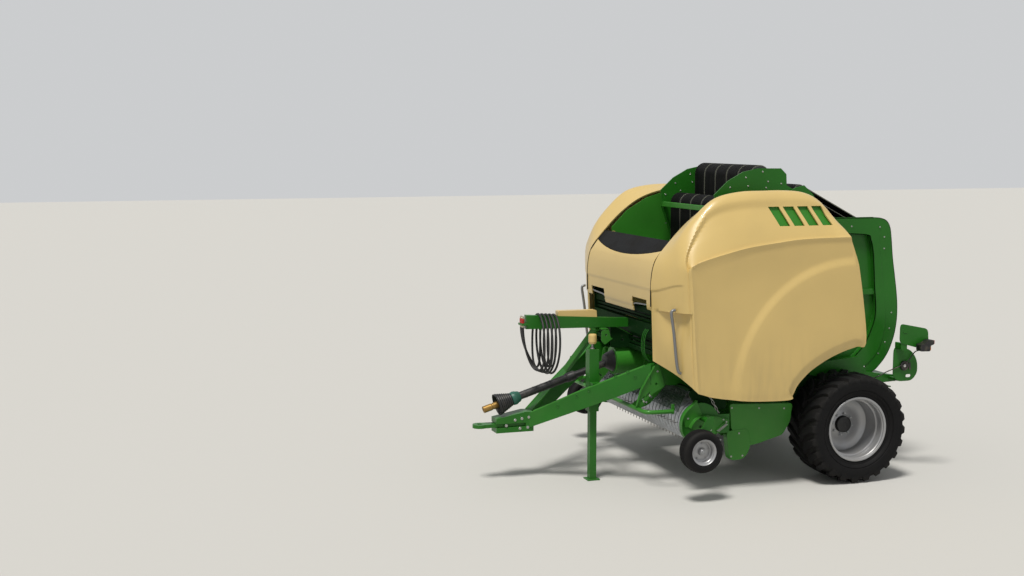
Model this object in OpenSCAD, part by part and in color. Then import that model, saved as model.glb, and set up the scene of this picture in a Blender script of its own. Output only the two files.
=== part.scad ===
// Round baler with belts, side hoods and a tined pickup, parked on its drawbar jack.
// X points forward to the tow eye, Y to the left, Z up; the ground is z = 0, in millimetres.

/* [Chamber] */
// Inside width of the bale chamber
chamber_w = 1210; // [1150:10:1230]
// Thickness of the chamber walls
wall_t = 12; // [6:1:16]
// Number of belts side by side
belt_count = 5; // [3:1:6]
// Width of one belt
belt_w = 214; // [150:2:220]
// Thickness of a belt
belt_t = 8; // [5:1:10]

/* [Tailgate] */
// Distance of the tailgate hinge behind the origin
gate_hinge_x = -860; // [-870:1:-850]
// Height of the tailgate hinge
gate_hinge_z = 2745; // [2735:1:2755]
// Radius of the tailgate hinge pins
gate_pin_r = 22; // [15:1:28]
// Thickness of the tailgate plates
gate_t = 12; // [6:1:16]
// Width of the flange along the tailgate's rear edge
gate_flange = 56; // [40:1:60]

/* [Hoods] */
// Half of the width over both side hoods
hood_y = 1275; // [1265:1:1285]
// Distance of a side hood's inner edge from the middle
hood_in_y = 806; // [800:1:815]
// Thickness of the hood skins
hood_t = 18; // [12:1:22]
// Radius of the hood handles' tube
handle_r = 14; // [8:1:18]

/* [Main wheels] */
// Radius of a main tyre
wheel_r = 527; // [515:1:540]
// Width of a main tyre
wheel_w = 500; // [460:5:510]
// Distance of the axle behind the origin
wheel_x = -1270; // [-1290:1:-1250]
// Distance of a main wheel's middle from the centre line
wheel_y = 1042; // [1035:1:1050]
// Radius of a main rim under the tyre
rim_r = 300; // [290:1:310]
// Width of a main rim
rim_w = 430; // [420:2:440]
// Height of the tread lugs
lug_h = 27; // [15:1:32]
// Number of lugs on each half of a main tyre
lug_count = 24; // [16:1:26]
// Radius of the wheel spindles
spindle_r = 45; // [35:1:50]

/* [Gauge wheels] */
// Radius of a gauge tyre
gauge_r = 198; // [185:1:205]
// Width of a gauge tyre
gauge_w = 155; // [130:1:160]
// Distance of the gauge tyres' outer faces from the centre line
gauge_y = 1510; // [1505:1:1515]
// Radius of a gauge rim under the tyre
gauge_rim_r = 111; // [95:1:120]
// Radius of the gauge wheels' stub axles
stub_r = 12; // [10:1:16]

/* [Pickup] */
// Distance of the pickup reel ahead of the origin
reel_x = 300; // [295:1:305]
// Height of the pickup reel's shaft
reel_z = 650; // [645:1:655]
// Outer radius of the stripper bands
band_r = 190; // [185:1:195]
// Thickness of the stripper bands
band_t = 4; // [3:1:6]
// Number of stripper bands
band_count = 28; // [20:2:32]
// Radius to the tips of the tines
tine_r = 235; // [225:1:238]
// Number of tine bars
tine_bars = 4; // [3:1:5]

/* [Drawbar] */
// Half of the drawbar's width at its rear ends
drawbar_rear_y = 719; // [700:1:730]
// Width of a drawbar member
member_w = 90; // [70:1:100]
// Inner radius of the tow eye
eye_r = 25; // [20:0.5:26]
// Thickness of the tow eye
eye_t = 34; // [28:1:40]
// Height of the tow eye
eye_z = 540; // [530:1:550]

/* [Jack] */
// Width of the jack's outer tube
jack_tube_w = 100; // [90:1:110]
// Width of the jack's leg
jack_leg_w = 68; // [60:1:74]
// Width of the jack's foot plate
foot_w = 125; // [110:5:160]

/* [Drive] */
// Radius of the gearbox guard
guard_r = 138; // [120:1:145]
// Height of the drive input
drive_z = 1110; // [1105:1:1120]
// Radius of the drive shaft's guard tube
shaft_r = 38; // [30:1:42]
// Radius of the splined bore in the drive shaft's yoke
spline_r = 17.5; // [15:0.5:20]

/* [Hoses] */
// Diameter of a hydraulic hose
hose_d = 22; // [16:1:24]
// Width of the hose arm
arm_w = 60; // [50:1:70]

/* [Hidden] */

$fn = 48;
green = [0.17, 0.4, 0.14];
light_green = [0.3, 0.52, 0.26];
beige = [0.76, 0.68, 0.42];
silver = [0.72, 0.73, 0.74];
steel = [0.5, 0.51, 0.52];
black = [0.09, 0.09, 0.1];
tan_grip = [0.72, 0.6, 0.4];

// Clearance of a running fit on its radius, and of faces that lie on each other
fit = 0.05;
seat = 0.3;
// Clearance between pieces that move past each other
pass = 6;

wall_y = chamber_w / 2;
wall_out = wall_y + wall_t;
gate_in = wall_out + pass;
gate_out = gate_in + gate_t;
rail_y = 705;
rail_w = 60;
rail_out = rail_y + rail_w;
guard_y = 780;
cylinder_y = 735;

// Outline of a chamber wall seen from the side, and of a tailgate plate
wall_top = [[-21, 2769], [-165, 2899], [-327, 2986], [-491, 3019], [-740, 3017], [-800, 2960],
    [-806, 2850]];
wall_front = [[40, 560], [40, 905], [325, 930], [325, 1250], [60, 1700], [-60, 1900],
    [-177, 2251], [-49, 2602]];
gate_rear = [[-1227, 2536], [-1746, 2510], [-1853, 2447], [-1915, 2188], [-1972, 1573],
    [-1909, 1328], [-1792, 1149], [-1619, 1034]];

gate_middle = [-1350, 1800];

// Rollers of the fixed belts and of the tailgate belts: x, z, radius
front_rollers = [[-520, 2937, 105], [-760, 2740, 55], [-790, 1180, 60], [-215, 1180, 70],
    [-235, 2640, 95]];
gate_rollers = [[-960, 2800, 50], [-1640, 2420, 70], [-1820, 1600, 60], [-1590, 1180, 65],
    [-980, 1180, 55]];

// Lines of a side hood from its rear to its front bottom corner:
// x and z of the shoulder line, of the crest and of the inner edge
hood_lines = [
    [-1131, 2384, -1070, 2538, -1060, 2545], [-1000, 2384, -932, 2701, -915, 2690],
    [-800, 2382, -765, 2784, -750, 2765], [-560, 2372, -560, 2806, -550, 2785],
    [-335, 2346, -335, 2806, -335, 2780], [-60, 2310, -60, 2797, -110, 2762],
    [200, 2252, 197, 2736, 130, 2682], [400, 2198, 400, 2565, 340, 2540],
    [495, 2162, 540, 2385, 533, 2350], [527, 2125, 615, 2180, 672, 2171],
    [512, 1985, 640, 1975, 715, 1971], [495, 1740, 633, 1735, 713, 1739],
    [472, 1400, 612, 1420, 702, 1450], [440, 977, 552, 1119, 691, 1230]];
crest_y = 1050;
hood_round = 14;
band_sink = 12;
scoop_sink = 45;
window_pitch = 152;
// Arc that bounds the proud part of a side hood: centre, radius and step; drawn-in wheel arch
arc_at = [-1181, 929];
arc_r = 1227;
arc_step = 22;
flare_w = 110;
flare_sink = 40;
// Rear edge, wheel arch and bottom edge of a side hood: x, z
hood_edge = [[-1213, 2185], [-1284, 1774], [-1330, 1360], [-1247, 1329], [-1114, 1294],
    [-949, 1232], [-780, 1140], [-690, 1070], [-611, 987], [-564, 902], [-516, 861],
    [-144, 869], [142, 902], [299, 931]];
hood_hinge_y = 798;
hood_hinge_z = 2792;

// Curve of the front hood and of its insert: x, z
front_curve = [[598, 2262], [642, 2215], [672, 2171], [688, 2130], [703, 2070], [713, 1990], [717, 1880],
    [713, 1739], [702, 1690], [690, 1652]];
insert_curve = concat([[514, 2351], [560, 2304]], [for (i = [0:3]) front_curve[i]]);
front_hood_y = 793;
// Round lower edge of the insert, seen from the front
smile_r = 4050;
smile_z = front_curve[0][1] + sqrt(smile_r * smile_r - front_hood_y * front_hood_y);
front_hinge = [440, 2320];

// Inner face of a wheel's hub and end of its bore, measured inwards from the tyre's middle
hub_in = 195;
hub_out = 57;

pivot = [-200, 560];
pivot_r = 20;
gauge_at = [482, 480];
crop_hinge = [560, 1120];

// Pivot of a tailgate cylinder on the rail, and its rod's eye beside the tailgate
lift_from = [-350, 1180];
lift_to = [-1020, 2400];
lift_dir = (lift_to - lift_from) / norm(lift_to - lift_from);
function lift_at(d) = [lift_from[0] + lift_dir[0] * d, cylinder_y, lift_from[1] + lift_dir[1] * d];
lift_len = norm(lift_to - lift_from);

// Drawbar member in its own plane: run from the front, height
draw_front = [1673, 20];
draw_rear = [725, drawbar_rear_y];
draw_run = norm(draw_rear - draw_front);
draw_angle = atan2(draw_rear[1] - draw_front[1], draw_rear[0] - draw_front[0]);
draw_cut = 700;
jack_at = [1097, 302];

gearbox_front = 765;
shaft_rear = [790, 0, 1101];
shaft_front = [1769, 0, 799];
shaft_dir = (shaft_front - shaft_rear) / norm(shaft_front - shaft_rear);
bell_mouth = shaft_front + 215 * shaft_dir;
yoke_start = shaft_front + 177 * shaft_dir;
yoke_end = [2094, 0, 653.6];
yoke_middle = (yoke_start + yoke_end) / 2;

arm_y = 100;
arm_rear = 650.3;
arm_front = 1714;

coupling_x = 1748;
coupling_y = [72, 100, 128];
coupling_r = 11;

// Hoses: each leaves the arm's underside, swings out, passes over the arm in turns that lie side
// by side, and rises to its coupling; x of the first turn, spacing, half width and half height
turn_x = 1400;
turn_step = 40;
turn_half_w = 235;
turn_half_h = 300;
turn_low = 1180;
gland_end = 1465;
function arm_top(x) = 1553 + 64 * (x - 760) / (arm_front - 760);
// Point of a turn at an angle from the top of the arm, outwards over its left side
function turn_at(x0, a) =
    let(x = x0 + 2 * turn_step * (a - 270) / 360)
    [x, arm_y + turn_half_w * sin(a), arm_top(x) + hose_d / 2 + 3 + turn_half_h * (cos(a) - cos(15))];
function hose_route(x0, last, y1) =
    let(out = turn_half_w / 2, back = (arm_y + turn_half_w - y1) / 2,
        x1 = x0 + 2 * turn_step * (last - 255) / 360, run = coupling_x - x1)
    concat([[x0, arm_y, gland_end - seat], [x0, arm_y, turn_low]],
        [for (a = [60, 120, 180]) [x0, arm_y - out + out * cos(a), turn_low - out * sin(a)]],
        [for (a = [285:30:last]) turn_at(x0, a)],
        [for (k = [[0, 0], [60, 0.12], [120, 0.35], [180, 0.6]])
            [x1 + run * k[1], y1 + back + back * cos(k[0]), turn_low - back * sin(k[0])]],
        [[x1 + run * 0.93, y1, 1340], [coupling_x, y1, 1465], [coupling_x, y1, 1499.7]]);
hose_1_path = hose_route(turn_x, 795, coupling_y[0]);
hose_2_path = hose_route(turn_x + turn_step, 795, coupling_y[1]);
hose_3_path = hose_route(turn_x + 4 * turn_step, 435, coupling_y[2]);

// Extrudes a side view between two distances from the centre line
module side(y0, y1) {
    translate([0, y1, 0]) rotate([90, 0, 0]) linear_extrude(y1 - y0) children();
}

// A left piece and its mirror image
module both() {
    children();
    mirror([0, 1, 0]) children();
}

// Round bar across the machine
module cross(x, z, r, y0, y1) {
    translate([x, y1, z]) rotate([90, 0, 0]) cylinder(h = y1 - y0, r = r);
}

// Round bar or cone between two points
module rod(p, q, r, r2) {
    v = q - p;
    translate(p) rotate([0, acos(v[2] / norm(v)), atan2(v[1], v[0])])
        cylinder(h = norm(v), r1 = r, r2 = is_undef(r2) ? r : r2);
}

// Round plate seen from the side
module disc(x, z, r) {
    translate([x, z]) circle(r);
}

// Ring of revolution across the machine from a profile of radius and offset
module wheel(x, y, z) {
    translate([x, y, z]) rotate([-90, 0, 0]) rotate_extrude($fn = 96) children();
}

// Point where a belt leaves one roller or reaches the next, with the loop run anticlockwise
function tangent(a, b, grow, at_b) =
    let(d = [b[0] - a[0], b[1] - a[1]], l = norm(d), u = d / l,
        s = (a[2] - b[2]) / l, c = sqrt(1 - s * s),
        n = [u[1] * c + u[0] * s, u[1] * s - u[0] * c],
        p = at_b ? b : a)
    [p[0] + n[0] * (p[2] + grow), p[1] + n[1] * (p[2] + grow)];

// Filled outline of a belt that runs round a list of rollers
module belt_area(rollers, grow) {
    n = len(rollers);
    polygon([for (i = [0:n - 1], e = [false, true])
        tangent(rollers[i], rollers[(i + 1) % n], grow, e)]);
    for (r = rollers) disc(r[0], r[1], r[2] + grow);
}

module belt_set(rollers, gap_x) {
    pitch = chamber_w / belt_count;
    for (i = [0:belt_count - 1]) {
        y = -wall_y + pitch * (i + 0.5);
        side(y - belt_w / 2, y + belt_w / 2) difference() {
            belt_area(rollers, belt_t + seat);
            belt_area(rollers, seat);
            translate([gap_x - 110, 1300]) square([220, 1340]);
        }
    }
}

// Value on a smooth curve through the rows of a table, at a fractional row
function spline(rows, t) =
    let(n = len(rows), i = min(n - 2, max(0, floor(t))), f = t - i,
        a = rows[max(0, i - 1)], b = rows[i], c = rows[i + 1], d = rows[min(n - 1, i + 2)])
    b + f * (c - a) / 2 + f * f * (a - 2.5 * b + 2 * c - d / 2) + f * f * f * (1.5 * (b - c) + (d - a) / 2);
function ramp(v, low, high) = let(f = max(0, min(1, (v - low) / (high - low)))) f * f * (3 - 2 * f);

// Rim of a side hood at a fractional line: shoulder line, crest and inner edge with the points
// half way between them, which stand proud so that the section is round
function hood_rim(t) =
    let(l = spline(hood_lines, t), s = [l[0], hood_y, l[1]], c = [l[2], crest_y, l[3]],
        e = [l[4], hood_in_y, l[5]], up = (c - s) / norm([c[0] - s[0], 0, c[2] - s[2]]))
    [s, (s + c) / 2 + hood_round * [up[0], 1, up[2]], c, (c + e) / 2 + hood_round / 2 * [up[0], 0, up[2]], e];
// How far the sunk band over the shoulder and the hollow behind the handle lie in
function band_depth(t, v) = band_sink * ramp(t, 0.4, 1.2) * (1 - ramp(t, 8, 9)) * ramp(v, 0.05, 0.3)
    * (1 - ramp(v, 1.05, 1.3));
function scoop_depth(t, v) = scoop_sink * (t < 11.1 ? 0 : 1 - ramp(t, 11.1, 12.8)) * ramp(v, 0.1, 0.9)
    * (1 - ramp(v, 2, 3.6));
function rim_point(t, v) =
    let(p = spline(hood_rim(t), v), q = hood_rim(t), up = (q[2] - q[0]) / norm([q[2][0] - q[0][0], 0, q[2][2] - q[0][2]]))
    p - (band_depth(t, v) + scoop_depth(t, v)) * [up[0], 0.6, up[2]];

// Side of a hood below the shoulder: the rear and lower part stands proud of the rest inside an
// arc, and a band along the wheel arch is drawn in
function arc_share(s, e, r) =
    let(d = e - s, o = s - arc_at, a = d * d, b = o * d, c = o * o - r * r, q = b * b - a * c)
    q < 0 ? 1 : (-b - sqrt(q)) / a;
function side_share(s, e, k) =
    let(l = norm(e - s), f = 1 - flare_w / l, a = min(0.8 * f, max(0.1, arc_share(s, e, arc_r + 45))),
        b = min(0.92 * f, max(a + 0.05, arc_share(s, e, arc_r - 45))))
    [1, f, b, a, a / 2][k];
function side_point(t, k) =
    let(l = spline(hood_lines, t), s = [l[0], l[1]], e = spline(hood_edge, t), f = side_share(s, e, k),
        p = s + (e - s) * f, inset = arc_step * ramp(norm(p - arc_at), arc_r - 45, arc_r + 45))
    [p[0], hood_y - inset * (k == 4 ? 0.7 : 1) - (k == 0 ? flare_sink * ramp(t, 1, 2.5) : 0), p[1]];
function hood_station(t) = concat([for (k = [0:4]) side_point(t, k)],
    [for (v = [0, 0.3, 1, 1.35, 2, 3, 4]) rim_point(t, v)]);

// A skin of even thickness behind a grid of points, as one closed solid
module skin(grid, t) {
    n = len(grid);
    m = len(grid[0]);
    function at(i, j) = grid[max(0, min(n - 1, i))][max(0, min(m - 1, j))];
    function unit(v) = v / norm(v);
    inner = [for (i = [0:n - 1]) [for (j = [0:m - 1])
        at(i, j) + t * unit(cross_of(at(i + 1, j) - at(i - 1, j), at(i, j + 1) - at(i, j - 1)))]];
    pts = concat([for (row = grid) for (p = row) p], [for (row = inner) for (p = row) p]);
    o = n * m;
    function id(i, j) = i * m + j;
    faces = concat(
        [for (i = [0:n - 2], j = [0:m - 2], k = [0, 1])
            k == 0 ? [id(i, j), id(i + 1, j), id(i + 1, j + 1)] : [id(i, j), id(i + 1, j + 1), id(i, j + 1)]],
        [for (i = [0:n - 2], j = [0:m - 2], k = [0, 1])
            k == 0 ? [o + id(i, j), o + id(i + 1, j + 1), o + id(i + 1, j)]
                : [o + id(i, j), o + id(i, j + 1), o + id(i + 1, j + 1)]],
        [for (i = [0:n - 2], k = [0, 1])
            k == 0 ? [id(i, 0), o + id(i, 0), o + id(i + 1, 0)] : [id(i, 0), o + id(i + 1, 0), id(i + 1, 0)]],
        [for (i = [0:n - 2], k = [0, 1])
            k == 0 ? [id(i, m - 1), id(i + 1, m - 1), o + id(i + 1, m - 1)]
                : [id(i, m - 1), o + id(i + 1, m - 1), o + id(i, m - 1)]],
        [for (j = [0:m - 2], k = [0, 1])
            k == 0 ? [id(0, j), id(0, j + 1), o + id(0, j + 1)] : [id(0, j), o + id(0, j + 1), o + id(0, j)]],
        [for (j = [0:m - 2], k = [0, 1])
            k == 0 ? [id(n - 1, j), o + id(n - 1, j), o + id(n - 1, j + 1)]
                : [id(n - 1, j), o + id(n - 1, j + 1), id(n - 1, j + 1)]]);
    polyhedron(pts, faces);
}
function cross_of(a, b) = [a[1] * b[2] - a[2] * b[1], a[2] * b[0] - a[0] * b[2],
    a[0] * b[1] - a[1] * b[0]];

// Tube swept along a route, as one closed polyhedron
module swept(path, d, sides, side_dir) {
    n = len(path);
    function dir(i) = let(v = path[min(n - 1, i + 1)] - path[max(0, i - 1)]) v / norm(v);
    function across(i) = let(v = cross_of(dir(i), side_dir)) v / norm(v);
    pts = [for (i = [0:n - 1], k = [0:sides - 1])
        let(u = across(i), w = cross_of(dir(i), u), a = 360 * k / sides)
        path[i] + d / 2 * (cos(a) * u + sin(a) * w)];
    faces = concat([[for (k = [0:sides - 1]) k]],
        [for (i = [0:n - 2], k = [0:sides - 1], h = [0, 1])
            let(a = i * sides + k, b = i * sides + (k + 1) % sides)
            h == 0 ? [a, a + sides, b + sides] : [a, b + sides, b]],
        [[for (k = [sides - 1:-1:0]) (n - 1) * sides + k]]);
    polyhedron(pts, faces);
}

// Main side rails with the axle brackets, joined by cross members
module frame() {
    color(green) {
        both() side(rail_y, rail_out) difference() {
            polygon([[draw_cut - seat, 985], [draw_cut - seat, 1185], [400, 1185], [-1000, 1100],
                [-1575, 1144], [-1668, 984], [-2009, 934], [-2009, 874], [-1640, 860],
                [-1400, 760], [wheel_x - 90, wheel_r - 75], [wheel_x + 90, wheel_r - 75],
                [-1100, 820], [-1000, 900]]);
            translate([wheel_x - 60 - seat, wheel_r - 60 - seat]) square(120 + 2 * seat);
        }
        for (b = [[330, 985, 90, 185], [-2000, 880, 90, 48]])
            translate([b[0], -rail_y - 1, b[1]]) cube([b[2], 2 * rail_y + 2, b[3]]);
        both() for (y = [rail_y, rail_out - 8]) side(y, y + 8) {
            translate([lift_from[0] - 45, 1080]) square([90, lift_from[1] - 1080]);
            disc(lift_from[0], lift_from[1], 45);
        }
        both() cross(lift_from[0], lift_from[1], 15, rail_y, rail_out);
        both() for (y = [650, 662]) side(y, y + 6)
            polygon([[420, 1080], [420, 1170], [540, 1160], [590, 1130], [585, 1090], [540, 1080]]);
        both() cross(crop_hinge[0], crop_hinge[1], 12, 625, 668);
        both() side(wall_out + seat, rail_y + 1) translate([-300, 1030]) square([500, 60]);
    }
}

module axle() {
    beam = wheel_y - hub_in - 50;
    color(green) {
        translate([wheel_x - 60, -beam, wheel_r - 60]) cube([120, 2 * beam, 120]);
        both() cross(wheel_x, wheel_r, 75, beam - 10, wheel_y - hub_in - seat);
        both() cross(wheel_x, wheel_r, spindle_r, wheel_y - hub_in - 1, wheel_y - hub_out - 3);
    }
}

module chamber_walls() {
    color(green) both() {
        side(wall_y, wall_out) {
            polygon(concat(wall_top, [[-905, 2800], [-912, 2700], [-885, 2640], [-885, 700],
                [-600, 560], [-300, 520]], wall_front));
            disc(gate_hinge_x, gate_hinge_z, 52);
        }
        cross(gate_hinge_x, gate_hinge_z, gate_pin_r, wall_y, gate_out + 20);
        side(wall_y + 1, wall_out + 40)
            polygon([[-49, 2602], [-177, 2251], [-60, 1900], [-75, 1890], [-197, 2251], [-69, 2608]]);
    }
}

module side_boxes() {
    color(light_green) both() {
        side(918, 1020) polygon([[-28, 811], [-706, 769], [-677, 590], [-596, 460], [-315, 389],
            [-283, 361], [-202, 262], [-22, 261], [15, 547]]);
        for (x = [-560, -120]) translate([x, 720, 750]) cube([60, 210, 900 + (x + 1000) * 0.05 - 750 - 6]);
        cross(pivot[0], pivot[1], pivot_r, 850, 930);
    }
}

module member(w) {
    translate([draw_front[0], draw_front[1], 0]) rotate([0, 0, draw_angle]) rotate([90, 0, 0])
        linear_extrude(w, center = true)
        polygon([[0, 490], [0, 630], [draw_run * 0.474, 899], [draw_run * 1.06, 1202],
            [draw_run * 1.06, 1005], [draw_run * 0.71, 826], [draw_run * 0.386, 673]]);
}

module drawbar() {
    color(green) {
        both() difference() {
            member(member_w);
            translate([draw_cut - 400, 0, 400]) cube([400, 1000, 1000]);
            translate([1500, -200, 400]) cube([400, 200, 500]);
        }
        side(-80, 80) polygon([[1620, 470], [1620, 660], [1700, 665], [2000, 610], [2000, 560],
            [1700, 557.3], [1700, 522.7], [2000, 520], [2000, 470]]);
    }
}

module tow_eye() {
    color(steel) difference() {
        union() {
            translate([1700.3, -55, eye_z - eye_t / 2]) cube([380, 110, eye_t]);
            translate([2146, 0, eye_z - eye_t / 2]) cylinder(h = eye_t, r = 70);
            translate([2060, -60, eye_z - eye_t / 2]) cube([86, 120, eye_t]);
        }
        translate([2146, 0, eye_z - eye_t]) cylinder(h = 2 * eye_t, r = eye_r);
    }
}

module jack_tube() {
    inner = jack_leg_w + 2 * seat;
    color(green) translate([jack_at[0], jack_at[1], 0]) {
        difference() {
            translate([-jack_tube_w / 2, -jack_tube_w / 2, 680]) cube([jack_tube_w, jack_tube_w, 605]);
            translate([-inner / 2, -inner / 2, 670]) cube([inner, inner, 600]);
        }
        difference() {
            translate([-45, jack_tube_w / 2 - 1, 860]) cube([90, 80, 110]);
            translate([-jack_at[0], -jack_at[1], 0]) member(member_w + 2 * seat);
        }
    }
}

module jack_crank() {
    at = [jack_at[0], jack_at[1], 1285 + seat];
    color(steel) translate(at) {
        cylinder(h = 12, r = 26);
        cylinder(h = 50, r = 13);
    }
    color(tan_grip) translate(at) rotate_extrude() polygon([[0, 49], [34, 49], [40, 58], [42, 100],
        [40, 136], [32, 146], [0, 148]]);
}

module jack_leg() {
    color(green) translate([jack_at[0], jack_at[1], 0]) {
        translate([-jack_leg_w / 2, -jack_leg_w / 2, 11]) cube([jack_leg_w, jack_leg_w, 889]);
        translate([-foot_w / 2, -foot_w / 2, 0]) cube([foot_w, foot_w, 12]);
    }
}

module gearbox() {
    color(green) {
        rod([420 + seat, 0, drive_z], [gearbox_front, 0, drive_z], guard_r);
        translate([420 + seat, -150, drive_z - 115]) cube([60, 300, 190]);
    }
}

module drive_shaft() {
    color(black) {
        rod([gearbox_front + seat, 0, drive_z], [850, 0, drive_z], 104, 66);
        rod(shaft_rear, shaft_front - seat * shaft_dir, shaft_r);
        rod(shaft_rear + 400 * shaft_dir, shaft_rear + 480 * shaft_dir, shaft_r + 8);
    }
}

module drive_bell() {
    color(black) rod(shaft_front, bell_mouth, 52, 108);
    color(steel) difference() {
        rod(yoke_start, yoke_end, 34);
        rod(yoke_middle, 2 * yoke_end - yoke_middle, spline_r);
    }
}

module hose_arm() {
    color(green) {
        side(arm_y - arm_w / 2, arm_y + arm_w / 2) polygon([[arm_rear, 1461], [arm_rear, 1548],
            [760, 1553], [arm_front, 1617], [arm_front, 1482]]);
        side(-180, arm_y) polygon([[arm_rear, 1461], [arm_rear, 1500], [700, 1500], [700, 1461]]);
        for (k = [0, 1, 4]) translate([turn_x + k * turn_step, arm_y, gland_end])
            cylinder(h = 25, r = hose_d / 2 + 4);
        difference() {
            translate([arm_front - 12, 45, 1520]) cube([66, 110, 18]);
            for (y = coupling_y) rod([coupling_x, y, 1500], [coupling_x, y, 1560], coupling_r + seat);
        }
    }
}

module hose_box() {
    color(beige) side(46, 124) polygon([[979, 1568.2],
        [985, 1636], [1000, 1640], [1370, 1645], [1385, 1640], [1385, 1595.3]]);
}

module hose_couplings() {
    for (y = coupling_y) {
        color([0.75, 0.12, 0.1]) rod([coupling_x, y, 1538 + seat], [coupling_x, y, 1586], coupling_r + 2);
        color(steel) rod([coupling_x, y, 1500], [coupling_x, y, 1608], coupling_r);
    }
}

module hose_1() { color(black) swept(hose_1_path, hose_d, 8, [1, 0, 0]); }
module hose_2() { color(black) swept(hose_2_path, hose_d, 8, [1, 0, 0]); }
module hose_3() { color(black) swept(hose_3_path, hose_d, 8, [1, 0, 0]); }

module shoulder_guards() {
    color(light_green) both() {
        side(guard_y, guard_y + 12) polygon([[-1000, 2540], [-900, 2640], [-760, 2730], [-640, 2760],
            [-150, 2745], [60, 2685], [280, 2555], [450, 2385], [450, 2230], [-60, 2200], [-1000, 2230]]);
        side(wall_out + seat, guard_y + 1) difference() {
            polygon([[395, 2230], [395, 2242], [-160, 2222], [-800, 2242], [-800, 2230], [-160, 2210]]);
            translate([-204, 2190]) square([74, 70]);
        }
        for (x = [-520, -250]) {
            translate([x, guard_y, 2700]) cube([20, hood_hinge_y - guard_y, 100]);
            translate([x, 0, 0]) rod([0, hood_hinge_y, hood_hinge_z], [50, hood_hinge_y, hood_hinge_z], 6);
            translate([x, 0, 0]) rod([0, hood_hinge_y, hood_hinge_z], [20, hood_hinge_y, hood_hinge_z], 10);
        }
    }
}

module front_structure() {
    color(green) {
        both() side(740, 752) disc(front_hinge[0], front_hinge[1], 17);
        both() side(740, 752) polygon([[300, 1185 + seat], [640, 1185 + seat], [655, 1700], [650, 1950], [500, 2250],
            [440, 2300], [400, 2300], [430, 1900], [300, 1500]]);
        for (b = [[590, 1420, 60, 130], [560, 1252, 70, 40], [600, 1640, 40, 60], [440, 2255, 40, 60]])
            translate([b[0], -741, b[1]]) cube([b[2], 1482, b[3]]);
        for (z = [1305:40:1385]) translate([614, -741, z]) cube([8, 1482, 24]);
        for (z = [1566, 1602]) translate([618, -741, z]) cube([8, 1482, 22]);
        both() cross(front_hinge[0], front_hinge[1], 10, 740, 778);
        side(-741, 741) polygon([[470, 1900], [600, 1760], [606, 1766], [476, 1906]]);
    }
}

module feed_rollers() {
    color(black) for (r = [[500, 1350, 55], [400, 1560, 60]]) cross(r[0], r[1], r[2], -740 + seat, 740 - seat);
}

module belt_rollers() {
    color(steel) for (r = front_rollers) {
        cross(r[0], r[1], r[2], -wall_y + 6, wall_y - 6);
        cross(r[0], r[1], 20, -wall_y + seat, wall_y - seat);
    }
}

module belts_front() { color(black) belt_set(front_rollers, -790); }
module belts_tail() { color(black) belt_set(gate_rollers, -960); }

// Cross bar above the front belts and the comb over the pickup
module guard_comb() {
    color(green) {
        translate([-80, -wall_y + seat, 2600]) cube([40, chamber_w - 2 * seat, 50]);
        translate([375, -700, 955]) cube([40, 1400, 30 - seat]);
        for (i = [0:27]) translate([0, (i - 13.5) * 50, 0]) rod([405, 0, 965], [480, 0, 876], 5);
    }
}

module rear_ramp() {
    color(green) {
        side(-420, 420) polygon([[-1960, 879.7], [-1900, 879.7], [-1880, 850], [-2140, 745], [-2190, 740],
            [-2190, 752], [-2140, 757], [-1930, 842]]);
    }
}

module light_panels() {
    color(green) both() {
        side(1014, 1022) polygon([[-1872, 1495], [-2193, 1420], [-2206, 1281], [-2147, 1223], [-1879, 1297]]);
        side(910, 918) polygon([[-1879, 1265], [-2150, 1165], [-2157, 960], [-2052, 897], [-1871, 897],
            [-1871, 960]]);
        side(910, 1022) polygon([[-1960, 1215], [-1890, 1235], [-1890, 1300], [-1960, 1290]]);
        side(rail_out + seat, 912) polygon([[-1990, 900], [-1920, 905], [-1920, 930], [-1990, 925]]);
    }
}

module rear_lamps() {
    color(black) both() {
        side(1022 + seat, 1122) polygon([[-2037, 1212], [-2196, 1212], [-2196, 1334], [-2037, 1334]]);
        side(1035, 1112) polygon([[-2195, 1224], [-2216, 1228], [-2216, 1318], [-2195, 1322]]);
        cross(-2010, 1050, 70, 918 + seat, 940);
    }
}

// Each tailgate side is a plate with a raised channel along its rear edge and two ribs
module tailgate_sides() {
    inner = [[-1589, 1162], [-1672, 1240], [-1755, 1400], [-1800, 1575], [-1755, 2160], [-1716, 2300],
        [-1670, 2345], [-1260, 2372]];
    lip = [for (p = inner) p + 10 * (p - gate_middle) / norm(p - gate_middle)];
    color(green) both() {
        difference() {
            union() {
                side(gate_in, gate_out) {
                    polygon(concat([[-842, 2795], [-900, 2830], [-990, 2850], [-1090, 2760]], gate_rear,
                        [[-900, 1000], [-895, 2600], [-830, 2700]]));
                    disc(gate_hinge_x, gate_hinge_z, 60);
                }
                side(gate_out - 1, gate_out + gate_flange) {
                    polygon(concat(gate_rear, [[-1612, 1044], [-1784, 1158], [-1898, 1333], [-1960, 1575],
                        [-1903, 2186], [-1843, 2439], [-1743, 2498], [-1227, 2524]]));
                    polygon(concat(inner, [for (i = [len(inner) - 1:-1:0]) lip[i]]));
                }
                side(gate_out + gate_flange - 10, gate_out + gate_flange)
                    polygon(concat(gate_rear, inner));
            }
            cross(gate_hinge_x, gate_hinge_z, gate_pin_r + fit, gate_in - 5, gate_out + 5);
            side(gate_in - 1, gate_in + 5) polygon([[-1519, 2373], [-1711, 2383], [-1786, 1753],
                [-1662, 1727]]);
        }
        cross(lift_to[0], lift_to[1], 28, gate_out - 1, cylinder_y - 23 - seat);
        for (rib = [[-1786, 1560], [-1768, 2090]]) side(gate_out - 1, gate_out + 40)
            polygon([[-920, rib[1]], [rib[0], rib[1] - 33], [rib[0], rib[1] - 75], [-920, rib[1] - 42]]);
    }
}

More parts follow.
